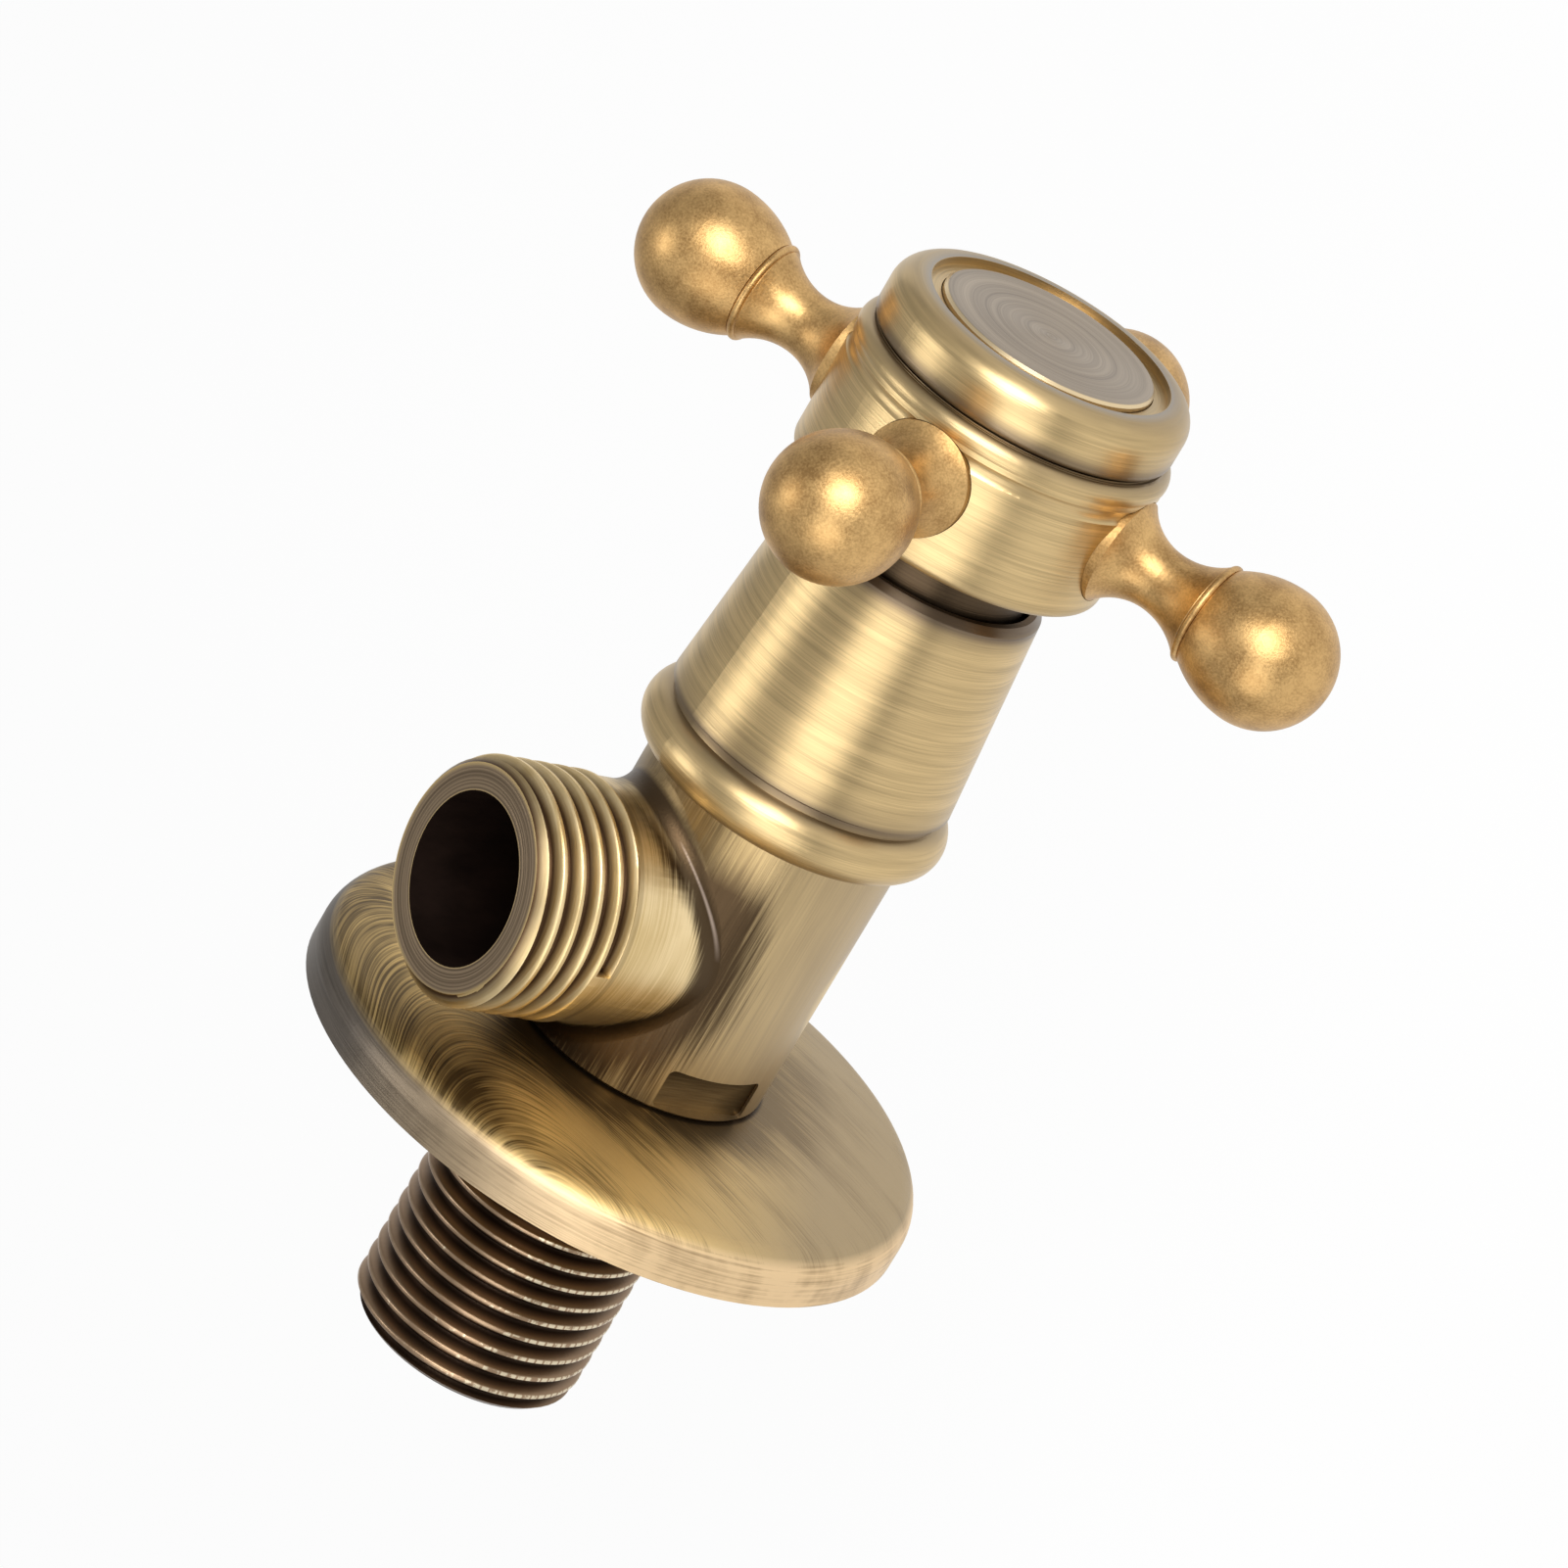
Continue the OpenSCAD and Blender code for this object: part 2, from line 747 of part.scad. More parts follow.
// Pair of opposite ports, centred on an angle
module port_pair(angle) {
    for (side = [0, 180])
        ring_sector(port_in_r, port_out_r, angle + side, port_angle);
}

module fixed_ceramic_disc() {
    color("whitesmoke")
        translate([0, 0, fixed_z])
            linear_extrude(disc_t)
                difference() {
                    circle(r = disc_r);
                    port_pair(0);
                }
}

// Plan of both driving legs, drawn larger by a clearance for their notches
module leg_plan(r_in, r_out, width) {
    intersection() {
        difference() {
            circle(r = r_out);
            circle(r = r_in);
        }
        square([2 * (r_out + cut), width], center = true);
    }
}

module moving_ceramic_disc() {
    leg_in_r = port_out_r + free_gap;
    color("whitesmoke")
        difference() {
            translate([0, 0, moving_z])
                linear_extrude(disc_t)
                    difference() {
                        circle(r = disc_r - easy_gap / 2);
                        port_pair(90);
                    }
            translate([0, 0, leg_z - leg_bite - seam])
                linear_extrude(disc_t)
                    leg_plan(leg_in_r, disc_r + cut, leg_w + 2 * run_gap);
        }
}

// Outline of the splined end, a ring of straight-sided teeth. The half widths of a tooth at its
// foot and at its tip are shares of the step from tooth to tooth.
module spline_outline(extra) {
    foot = 0.32;
    crest = 0.14;
    step = 360 / spline_teeth;
    tip = spline_r + extra;
    root = tip - spline_tooth_h;
    polygon([
        for (i = [0 : spline_teeth - 1])
            for (k = [[root, -foot], [tip, -crest], [tip, crest], [root, foot]])
                k[0] * [cos((i + k[1]) * step), sin((i + k[1]) * step)]
    ]);
}

// Turned part of the spindle, with its O-ring grooves and clip groove
module spindle_turning() {
    groove_r = oring_mid_r - oring_r - oring_gap;
    groove_h = oring_section_d + free_gap;
    neck_top = insert_z - cone_below;
    cone_h = 1;
    rotate_extrude()
        difference() {
            union() {
                band(0, head_r, head_z, head_z + head_t);
                band(0, shaft_r, head_z, neck_top - cone_h);
                polygon([
                    [0, neck_top - cone_h - sink],
                    [shaft_r, neck_top - cone_h],
                    [spline_r - spline_tooth_h - easy_gap, neck_top],
                    [0, neck_top]
                ]);
            }
            for (z = oring_heights)
                band(groove_r, shaft_r + cut, z - groove_h / 2, z + groove_h / 2);
            band(clip_groove_r, shaft_r + cut, sleeve_top_z, sleeve_top_z + clip_t + 2 * seam);
        }
}

module spindle() {
    leg_in_r = port_out_r + free_gap + run_gap;
    spline_z = insert_z - spline_below;
    notch_span = turn_angle + stop_rib_angle + 2 * stop_play;
    notch_mid = 90 + stop_rib_angle / 2 + stop_play - notch_span / 2;
    color("tan")
        difference() {
            union() {
                spindle_turning();
                translate([0, 0, leg_z - leg_bite])
                    linear_extrude(leg_h + leg_bite + sink)
                        leg_plan(leg_in_r, head_r - easy_gap, leg_w);
                translate([0, 0, spline_z])
                    linear_extrude(spindle_top_z - spline_z)
                        spline_outline(0);
            }
            translate([0, 0, head_z])
                linear_extrude(head_t + seam)
                    ring_sector(stop_r - free_gap, cup_bore_r + cut, notch_mid, notch_span);
            translate([0, 0, spindle_top_z - screw_len])
                cylinder(r = screw_d / 2 + thread_gap, h = screw_len + cut);
        }
}

module thrust_washer() {
    color("white")
        ring(shaft_r + easy_gap, stop_r - easy_gap, thrust_z, thrust_t);
}

// Rubber ring of round section in a groove of the spindle
module o_ring(z) {
    color("dimgray")
        translate([0, 0, z])
            rotate_extrude()
                translate([oring_mid_r, 0])
                    circle(r = oring_r, $fn = 32);
}

module spindle_o_ring_lower() {
    o_ring(oring_heights[0]);
}

module spindle_o_ring_upper() {
    o_ring(oring_heights[1]);
}

module spindle_clip() {
    clip_opening = 60;
    color("silver")
        translate([0, 0, sleeve_top_z + seam])
            linear_extrude(clip_t)
                difference() {
                    circle(r = sleeve_d / 2 - 2 * easy_gap);
                    circle(r = clip_groove_r + thread_gap);
                    wedge(0, clip_opening, shaft_d);
                }
}

module spline_insert() {
    color("tan")
        translate([0, 0, insert_z])
            linear_extrude(web_z - web_t - insert_z)
                difference() {
                    circle(r = insert_r, $fn = 6);
                    spline_outline(thread_gap);
                }
}

// Outer profile of the hub before it is bored
module hub_outline() {
    foot_at = hub_r - hub_foot_r;
    bead_at = hub_r + hub_bead_proud - hub_bead_r;
    bead_drop = 0.1;
    bead_mid = hub_top_z - hub_bead_r - bead_drop;
    cove_drop = 0.4;
    difference() {
        union() {
            band(0, foot_at, hub_z, hub_top_z - bead_drop);
            band(0, hub_r, hub_z + hub_foot_r, bead_mid);
            translate([foot_at, hub_z + hub_foot_r])
                circle(r = hub_foot_r);
            band(0, bead_at, hub_z + hub_foot_r, hub_top_z);
            band(0, skirt_r, skirt_z, hub_z + 2 * sink);
        }
        translate([hub_r + cove_r - cove_depth, bead_mid - hub_bead_r - cove_drop])
            circle(r = cove_r, $fn = 48);
    }
    translate([bead_at, bead_mid])
        circle(r = hub_bead_r, $fn = 48);
}

module handle_hub() {
    well_gap = 1.2;
    screw_well_r = screw_head_d / 2 + well_gap;
    seat_x = hub_r - root_seat;
    color("goldenrod")
        difference() {
            rotate_extrude()
                difference() {
                    hub_outline();
                    band(0, skirt_bore_r, skirt_z - cut, insert_z);
                    band(0, screw_d / 2 + easy_gap, insert_z, web_z + cut);
                    band(0, screw_well_r, web_z, hub_top_z + cut);
                    band(0, cap_skirt_r + thread_gap, hub_top_z - cap_skirt_len, hub_top_z + cut);
                }
            translate([0, 0, insert_z - cut])
                cylinder(r = insert_r + thread_gap,
                         h = web_z - web_t - insert_z + cut, $fn = 6);
            for (i = [0 : 3])
                rotate([0, 0, handle_angle + 90 * i])
                    translate([0, 0, arm_z])
                        rotate([0, 90, 0]) {
                            translate([0, 0, seat_x])
                                cylinder(r = root_r + thread_gap, h = root_seat + cut);
                            translate([0, 0, seat_x - stud_len - easy_gap])
                                cylinder(r = stud_d / 2 + thread_gap, h = stud_len + easy_gap + cut);
                        }
        }
}

// Profile of one arm, as radius and distance from the valve axis
module arm_outline() {
    seat_at = hub_r - root_seat;
    collar_in = collar_at - 2 * collar_edge_r;
    band(0, stud_d / 2, seat_at - stud_len, seat_at + sink);
    difference() {
        band(0, root_r, seat_at, waist_at);
        translate([waist_r + root_curve_r, waist_at])
            circle(r = root_curve_r);
    }
    difference() {
        band(0, collar_d / 2 - collar_edge_r, waist_at, collar_in + collar_edge_r);
        translate([waist_r + tip_curve_r, waist_at])
            circle(r = tip_curve_r);
    }
    band(0, waist_r, waist_at - sink, waist_at + sink);
    translate([collar_d / 2 - collar_edge_r, collar_in + collar_edge_r])
        circle(r = collar_edge_r, $fn = 32);
    band(0, collar_d / 2 - collar_edge_r, collar_in + collar_edge_r, collar_at + small_sink);
    intersection() {
        translate([ball_r - ball_inner_r, ball_at])
            circle(r = ball_inner_r);
        band(0, ball_d, collar_at, ball_at);
    }
    intersection() {
        translate([0, ball_at])
            circle(r = ball_r);
        band(0, ball_d, ball_at, ball_at + ball_d);
    }
}

module handle_arm(i) {
    color("peru")
        rotate([0, 0, handle_angle + 90 * (i - 2)])
            translate([0, 0, arm_z])
                rotate([0, 90, 0])
                    rotate_extrude()
                        arm_outline();
}

module screw_washer() {
    color("silver")
        ring(screw_d / 2 + easy_gap / 2, screw_head_d / 2 + 2 * easy_gap, web_z, washer_t);
}

module handle_screw() {
    head_z0 = web_z + washer_t;
    slot_w = 0.9;
    slot_depth = 1.4;
    slot_len = 0.6 * screw_head_d;
    color("silver")
        difference() {
            union() {
                translate([0, 0, head_z0])
                    cylinder(d = screw_head_d, h = screw_head_h);
                translate([0, 0, head_z0 - screw_len])
                    cylinder(d = screw_d, h = screw_len + sink);
            }
            for (turn = [0, 90])
                rotate([0, 0, turn])
                    translate([0, 0, head_z0 + screw_head_h])
                        cube([slot_len, slot_w, 2 * slot_depth], center = true);
        }
}

module handle_cap() {
    roll_at = cap_r - cap_roll_r;
    roll_z = cap_top_z - cap_roll_r;
    foot_at = cap_r - cap_foot_r;
    color("goldenrod")
        rotate_extrude()
            difference() {
                union() {
                    band(0, foot_at, cap_z, roll_z);
                    band(0, cap_r, cap_z + cap_foot_r, roll_z);
                    translate([foot_at, cap_z + cap_foot_r])
                        circle(r = cap_foot_r, $fn = 48);
                    intersection() {
                        translate([roll_at, roll_z])
                            circle(r = cap_roll_r);
                        band(0, cap_r, roll_z - sink, cap_top_z);
                    }
                    band(0, roll_at, roll_z - sink, cap_top_z);
                    band(0, cap_skirt_r, hub_top_z - cap_skirt_len + seam, cap_z + cut);
                }
                band(0, recess_r, recess_z, cap_top_z + cut);
                band(0, index_r + easy_gap / 2, index_z, recess_z + cut);
                band(0, spigot_r + thread_gap, hub_top_z - cap_skirt_len - cut, index_z + cut);
            }
}

module index_disc() {
    top_z = index_z + index_t;
    spigot_z = index_z - spigot_len;
    lead_in = 0.4;
    color("gray")
        rotate_extrude()
            polygon([
                [0, spigot_z],
                [spigot_r - lead_in, spigot_z],
                [spigot_r, spigot_z + lead_in],
                [spigot_r, index_z],
                [index_r, index_z],
                [index_r, top_z - index_bevel],
                [index_r - index_bevel, top_z],
                [0, top_z]
            ]);
}

installed() valve_body();
installed() escutcheon();
installed() escutcheon_grip_ring();
installed() bonnet_shroud();
installed() cartridge_housing();
installed() housing_gasket();
installed() seat_seal();
installed() fixed_ceramic_disc();
installed() moving_ceramic_disc();
installed() spindle();
installed() thrust_washer();
installed() spindle_o_ring_lower();
installed() spindle_o_ring_upper();
installed() spindle_clip();
installed() spline_insert();
installed() handle_hub();
installed() handle_arm(1);  // handle_arm_1
installed() handle_arm(2);  // handle_arm_2
installed() handle_arm(3);  // handle_arm_3
installed() handle_arm(4);  // handle_arm_4
installed() screw_washer();
installed() handle_screw();
installed() handle_cap();
installed() index_disc();
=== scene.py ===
# %% [markdown]
# # Angle valve: from plain solids to antique brass
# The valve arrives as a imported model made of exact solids. They keep their sizes and places for
# the whole notebook. The cells below add a camera, finishes, screw threads, a floor and light.
# All lengths are in metres. The valve axis is Y: the inlet tail points along +Y into the wall,
# the handle faces -Y and the outlet points up, along +Z.

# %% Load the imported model
import bpy
import json
import math
from mathutils import Matrix, Vector


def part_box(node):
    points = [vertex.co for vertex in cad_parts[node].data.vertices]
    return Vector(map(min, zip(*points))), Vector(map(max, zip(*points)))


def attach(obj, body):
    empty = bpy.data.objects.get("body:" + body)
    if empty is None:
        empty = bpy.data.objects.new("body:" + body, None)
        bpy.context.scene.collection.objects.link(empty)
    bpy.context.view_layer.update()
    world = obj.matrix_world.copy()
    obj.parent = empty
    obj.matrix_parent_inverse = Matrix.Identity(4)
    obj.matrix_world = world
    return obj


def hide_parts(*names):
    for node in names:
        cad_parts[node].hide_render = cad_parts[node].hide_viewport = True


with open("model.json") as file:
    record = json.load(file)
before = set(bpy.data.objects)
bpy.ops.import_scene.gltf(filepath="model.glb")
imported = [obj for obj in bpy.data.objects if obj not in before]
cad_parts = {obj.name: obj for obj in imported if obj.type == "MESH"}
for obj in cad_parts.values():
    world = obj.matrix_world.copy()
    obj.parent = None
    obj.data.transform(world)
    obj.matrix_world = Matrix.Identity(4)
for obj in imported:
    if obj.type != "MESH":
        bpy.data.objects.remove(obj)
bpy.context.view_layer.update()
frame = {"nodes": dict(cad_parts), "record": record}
nodes = frame["nodes"]
MM = 0.001
TO_MM = 1000.0

# %% [markdown]
# ## Camera
# The photograph looks down on the valve with a long lens, which keeps the handle and the wall
# flange at nearly the same scale. A camera could be moved by eye until the picture looks right.
# Here its place and its three axes were solved from circles on the real object, so they are
# written as plain numbers.

# %% Photo camera
camera_data = bpy.data.cameras.new("photo_camera")
camera_data.sensor_fit = "HORIZONTAL"
camera_data.sensor_width = 36.0
camera_data.lens = 170.91
camera_data.clip_start = 0.01
camera = bpy.data.objects.new("photo_camera", camera_data)
bpy.context.scene.collection.objects.link(camera)
camera_right = Vector((-0.44406, -0.46795, -0.76409))
camera_up = Vector((0.59294, -0.79281, 0.14095))
camera_back = Vector((-0.67174, -0.39047, 0.62953))
camera_place = Vector((-0.40767, -0.26929, 0.38234))
camera_turn = Matrix((camera_right, camera_up, camera_back)).transposed()
camera.matrix_world = Matrix.Translation(camera_place) @ camera_turn.to_4x4()
bpy.context.scene.camera = camera
print("camera", [round(value, 3) for value in camera_place])

# %% [markdown]
# ## Numbers in a graph
# A finish is a graph of nodes that works out a colour, a roughness and a bump for each point of
# a surface. Graphs that are linked node by node are slow to read. Here a number inside a graph
# can be added, multiplied and compared like a plain number, and each step adds one Math node.
# A fade is a Map Range node, which stays level before its start and after its end.

# %% A number that a graph works out
class Value:
    """A socket of a graph. Arithmetic with it adds Math nodes and gives new values."""

    def __init__(self, graph, socket):
        self.graph = graph
        self.socket = socket

    def __add__(self, other):
        return self.graph.math("ADD", self, other)

    def __sub__(self, other):
        return self.graph.math("SUBTRACT", self, other)

    def __rsub__(self, other):
        return self.graph.math("SUBTRACT", other, self)

    def __mul__(self, other):
        return self.graph.math("MULTIPLY", self, other)

    def __truediv__(self, other):
        return self.graph.math("DIVIDE", self, other)

    def __pow__(self, other):
        return self.graph.math("POWER", self, other)

    def __abs__(self):
        return self.graph.math("ABSOLUTE", self)

    def __gt__(self, other):
        return self.graph.math("GREATER_THAN", self, other)

    def __lt__(self, other):
        return self.graph.math("LESS_THAN", self, other)

    def fade(self, start, end, at_start=0.0, at_end=1.0, smooth=False):
        """Goes from at_start to at_end while this value goes from start to end."""
        made = self.graph.add("MapRange", {0: self, 1: start, 2: end, 3: at_start, 4: at_end},
                              interpolation_type="SMOOTHSTEP" if smooth else "LINEAR")
        return Value(self.graph, made.outputs[0])


def larger(first, second):
    """The larger of two values at each point."""
    return first.graph.math("MAXIMUM", first, second)


def distance(first, second):
    """Length of a step whose two sides are at right angles."""
    return first.graph.math("SQRT", first ** 2.0 + second ** 2.0)


print("numbers of a graph ready")

# %% [markdown]
# ## One graph for each finish
# Each material starts with an empty graph, and one call adds a node with its settings and its
# inputs. A value that is the same all over a surface is set on the socket itself, because a
# constant that reaches a shader through a link is lost when the model is exported.

# %% The graph of one material
class Graph:
    """A material and the nodes that are added to it."""

    def __init__(self, name):
        self.material = bpy.data.materials.new(name)
        self.material.use_nodes = True
        self.tree = self.material.node_tree
        self.tree.nodes.clear()
        self.output = self.tree.nodes.new("ShaderNodeOutputMaterial")

    def join(self, value, socket):
        """Links a value or a socket, or sets a plain number or colour."""
        if isinstance(value, Value):
            value = value.socket
        if isinstance(value, bpy.types.NodeSocket):
            self.tree.links.new(value, socket)
        elif isinstance(value, tuple):
            socket.default_value = (*value, 1.0)
        else:
            socket.default_value = value

    def add(self, kind, inputs=None, **settings):
        made = self.tree.nodes.new("ShaderNode" + kind)
        for key, value in settings.items():
            setattr(made, key, value)
        for key, value in (inputs or {}).items():
            self.join(value, made.inputs[key])
        return made

    def math(self, operation, first, second=0.0):
        made = self.add("Math", {0: first, 1: second}, operation=operation)
        return Value(self, made.outputs[0])

    def mix(self, factor, first, second):
        """Blend of two colours, or of two values."""
        made = self.add("Mix", {0: factor, 6: first, 7: second}, data_type="RGBA")
        return Value(self, made.outputs[2])


print("graph ready")

# %% [markdown]
# ## Where a point lies
# A pattern stays on its piece when it is drawn in the object's own coordinates. Millimetres along
# the valve axis and out from it are easy to compare with the real piece, so every finish starts
# from them. Some painted light and shade depends on the side that lies at the right of the view.

# %% Places in millimetres
RIGHT_X, RIGHT_Z = -0.5, -0.87


class Place:
    """A point in millimetres: to the side, along the valve axis, upwards and out from the axis."""

    def __init__(self, graph):
        point = graph.add("TexCoord").outputs["Object"]
        x, y, z = graph.add("SeparateXYZ", {0: point}).outputs
        self.across = Value(graph, x) * TO_MM
        self.height = Value(graph, y) * -TO_MM
        self.upward = Value(graph, z) * TO_MM
        self.radius = distance(self.across, self.upward)


def to_right(place):
    """How far a point lies towards the right of the photograph, measured along the wall."""
    return place.across * RIGHT_X + place.upward * RIGHT_Z


print("places ready; right of the photograph is x", RIGHT_X, "z", RIGHT_Z)

# %% [markdown]
# ## Lines left by turning and brushing
# Brass that is brushed on a lathe carries fine rings: long round the axis and very narrow along
# it. They are too fine to be cut into a mesh, and only their shine is seen. Noise shows such
# lines when a large factor squeezes its coordinate across the lines and a small factor draws out
# the coordinates that run with them. Noise stays near the middle of its range, so a fade from
# about 0.36 to 0.64 gives it full contrast.

# %% Streaks, patterns and turned lines
def streaks(x, y, z, detail=3.0):
    """Noise at the given coordinates."""
    graph = x.graph
    vector = graph.add("CombineXYZ", {0: x, 1: y, 2: z}).outputs[0]
    noise = graph.add("TexNoise", {"Vector": vector, "Scale": 1.0, "Detail": detail,
                                   "Roughness": 0.55})
    return Value(graph, noise.outputs["Fac"])


def pattern(place, across, height, upward, detail=3.0):
    """Noise with one factor for each direction of the valve."""
    return streaks(place.across * across, place.height * height, place.upward * upward, detail)


def turned_lines(place, fineness, drawn_out):
    """Lines round the valve axis, on cylinders and on faces alike."""
    along = place.height + place.radius * 0.8
    return streaks(place.across * drawn_out, along * fineness, place.upward * drawn_out)


print("streaks, patterns and turned lines ready")

# %% [markdown]
# ## The shader
# All finishes end in the same shader with a small bump. Light on brushed metal is drawn out
# across the brush lines, which the anisotropic setting gives. The lines of turned pieces run
# round the valve axis, so the tangent is radial about Y.

# %% Shader with a bump
BUMP_HEIGHT = 0.1 * MM


def surface(graph, colour, roughness, lines, depth, metallic=1.0, stretch=0.0):
    """Finished material. The lines are its bump, and stretch draws out the highlights."""
    bump = graph.add("Bump", {"Strength": depth, "Distance": BUMP_HEIGHT, "Height": lines})
    shader = graph.add("BsdfPrincipled", {"Base Color": colour, "Roughness": roughness,
                                          "Metallic": metallic, "Normal": bump.outputs[0]})
    if stretch:
        round_axis = graph.add("Tangent", direction_type="RADIAL", axis="Y")
        graph.join(stretch, shader.inputs["Anisotropic"])
        graph.join(0.25, shader.inputs["Anisotropic Rotation"])
        graph.join(round_axis.outputs[0], shader.inputs["Tangent"])
    graph.join(shader.outputs[0], graph.output.inputs[0])
    return graph.material


print("shader ready, bumps up to", BUMP_HEIGHT)

# %% [markdown]
# ## Turned brass
# Hub, cap, bead and shroud are polished on a lathe, then darkened, then brushed back, so the
# high places are champagne gold and the grooves keep grey-brown patina. It could be painted by
# hand, but every groove runs right round the axis, so a curve over the height along the axis is
# enough to say how much patina each place keeps.

# %% Share of patina along the axis
def share_along(height, stops):
    """Turns a height into a share from 0 to 1 through a list of (height, share) stops."""
    low, high = stops[0][0], stops[-1][0]
    ramp = height.graph.add("ValToRGB", {0: height.fade(low, high)})
    elements = ramp.color_ramp.elements
    while len(elements) > 1:
        elements.remove(elements[-1])
    for index, (level, share) in enumerate(stops):
        position = (level - low) / (high - low)
        element = elements[0] if index == 0 else elements.new(position)
        element.position = position
        element.color = (share, share, share, 1.0)
    return Value(height.graph, ramp.outputs[0])


print("curve along the axis ready")

# %% Turned brass
PALE_GOLD = (0.72, 0.53, 0.265)
SHADED_GOLD = tuple(0.66 * part for part in PALE_GOLD)
GREY_PATINA = (0.17, 0.125, 0.085)
# Painted shade: near black with lighter streaks, for places that lie in shade.
SHADE_BLACK = (0.045, 0.030, 0.019)
SHADE_STREAK = (0.13, 0.088, 0.05)
SLOPE_GREY = (0.30, 0.28, 0.26)
SLOPE_BROWN = (0.20, 0.12, 0.045)


def recess_patina(graph, place, colour, fine, recess_r):
    """Grey on the slope into the cap's recess, and darker brown towards the right."""
    slope = place.radius.fade(recess_r + 0.1, recess_r + 1.1, 0.8, 0.0)
    colour = graph.mix(slope * (place.radius > recess_r + 0.04), colour, SLOPE_GREY)
    return graph.mix(to_right(place).fade(6.0, 13.0, 0.0, 0.5) * fine, colour, SLOPE_BROWN)


def turned_brass(name, patina_stops, shade_stops=None, recess_r=None):
    graph = Graph(name)
    place = Place(graph)
    fine = turned_lines(place, fineness=8.5, drawn_out=0.10)
    broad = turned_lines(place, fineness=1.6, drawn_out=0.07)
    tone = (fine * 0.58 + broad * 0.42).fade(0.36, 0.62)
    bright = graph.mix(tone, SHADED_GOLD, PALE_GOLD)
    worn = share_along(place.height, patina_stops) * (fine * 0.5 + 0.75)
    colour = graph.mix(worn, bright, GREY_PATINA)
    # Painted shade: a second list darkens to near black a part that lies in shade.
    if shade_stops:
        black = graph.mix(fine, SHADE_BLACK, SHADE_STREAK)
        colour = graph.mix(share_along(place.height, shade_stops), colour, black)
    if recess_r:
        colour = recess_patina(graph, place, colour, fine, recess_r)
    roughness = fine * 0.16 + 0.28
    return surface(graph, colour, roughness, lines=fine, depth=0.25, stretch=0.6)


print("turned brass ready")

# %% [markdown]
# Each list gives heights in millimetres from the wall and the share of patina there. The hub's
# second list is painted shade: it darkens to near black the skirt between the hub and the shroud.

# %% Patina of shroud, hub and cap, and painted shade on the hub's skirt
shroud_stops = [(31.0, 1.0), (31.4, 0.7), (32.2, 0.15), (33.8, 0.0), (35.3, 0.15), (36.2, 0.75),
                (36.9, 0.95), (37.5, 0.35), (39.5, 0.05), (53.5, 0.05), (54.5, 0.35),
                (55.2, 0.95), (56.0, 1.0)]
hub_stops = [(59.4, 0.6), (59.9, 0.2), (61.0, 0.0), (68.8, 0.0), (69.4, 0.15), (69.9, 0.0),
             (71.0, 0.0), (71.9, 0.5), (72.2, 0.8)]
skirt_shade_stops = [(50.0, 1.0), (59.2, 1.0), (59.55, 0.0), (72.2, 0.0)]
cap_stops = [(72.2, 0.95), (73.1, 0.8), (73.7, 0.25), (74.3, 0.0), (76.3, 0.05), (76.95, 0.34),
             (77.2, 0.4)]
cap_recess_r = 10.8
finishes = {
    "bonnet_shroud": turned_brass("shroud_brass", shroud_stops),
    "handle_hub": turned_brass("hub_brass", hub_stops, skirt_shade_stops),
    "handle_cap": turned_brass("cap_brass", cap_stops, recess_r=cap_recess_r),
}
print("turned finishes", sorted(finishes))

# %% [markdown]
# ## Satin brass of the arms
# The arms and balls are tumbled rather than brushed: their shine is soft and slightly cloudy, and
# their colour is warmer. Two noises of different size give the clouds and the fine grain.

# %% Arm brass
ARM_GOLD = (0.68, 0.435, 0.18)
ARM_BROWN = (0.37, 0.215, 0.08)


def satin_brass(name):
    graph = Graph(name)
    place = Place(graph)
    clouds = pattern(place, 0.35, 0.35, 0.35, detail=4.0)
    specks = pattern(place, 5.0, 5.0, 5.0, detail=2.0)
    tone = (clouds * 0.6 + specks * 0.4).fade(0.36, 0.62)
    colour = graph.mix(tone, ARM_BROWN, ARM_GOLD)
    return surface(graph, colour, roughness=specks * 0.16 + 0.34, lines=specks, depth=0.16)


for number in (1, 2, 3, 4):
    finishes[f"handle_arm_{number}"] = satin_brass(f"arm_brass_{number}")
print("arm finishes added")

# %% [markdown]
# ## Wall flange
# The flange is brushed by hand in one direction, in strokes that bend a little, so its streaks
# cross the dome as shallow arcs. Straight streaks would look machined, so one number is bent to
# stay the same all along a stroke, and the noise is squeezed across it. The rim is brushed along
# its edge. Painted shade darkens the flange near the valve and towards its left edge, and the
# rim's left side is painted dark grey as shade. Painted light makes the right side paler and
# greyer.

# %% Strokes of the hand brush
def stroke_line(place):
    """The same number all along one stroke. Strokes bend more towards the left of the flange."""
    along = to_right(place)
    beside = place.across * -RIGHT_Z + place.upward * RIGHT_X
    sheared = along + beside * 0.5
    past = larger(-14.0 - sheared, 0.0)
    return beside + sheared * 1.1 + past ** 2.0 * 0.10


def bare_metal_less_shade(place, fine, clouds, on_rim):
    """1 where the brush has laid the metal bare, 0 where patina or painted shade stays."""
    # Painted shade towards the left edge of the flange, and near the valve.
    left = to_right(place).fade(-13.0, 1.0, 1.0, -0.35)
    edge = place.radius.fade(20.0, 24.0, 0.0, 0.15) * (left * (1.0 - on_rim))
    seat = place.radius.fade(13.0, 19.0, 0.20, -0.03)
    return (fine * 0.50 + clouds * 0.50 - (edge + seat)).fade(0.33, 0.57)


print("brush strokes ready")

# %% Flange brass
FLANGE_GOLD, FLANGE_GOLD_SHADE = (0.78, 0.55, 0.225), (0.12, 0.078, 0.031)
# Colours of the right side, which is painted paler as light, and of the rim's left side, painted
# dark grey as shade.
FLANGE_PALE, FLANGE_PALE_SHADE = (0.44, 0.335, 0.195), (0.25, 0.18, 0.098)
RIM_GREY, RIM_GREY_SHADE = (0.15, 0.128, 0.106), (0.095, 0.08, 0.065)
RIM_GOLD, RIM_GOLD_SHADE = (0.80, 0.59, 0.345), (0.34, 0.23, 0.12)


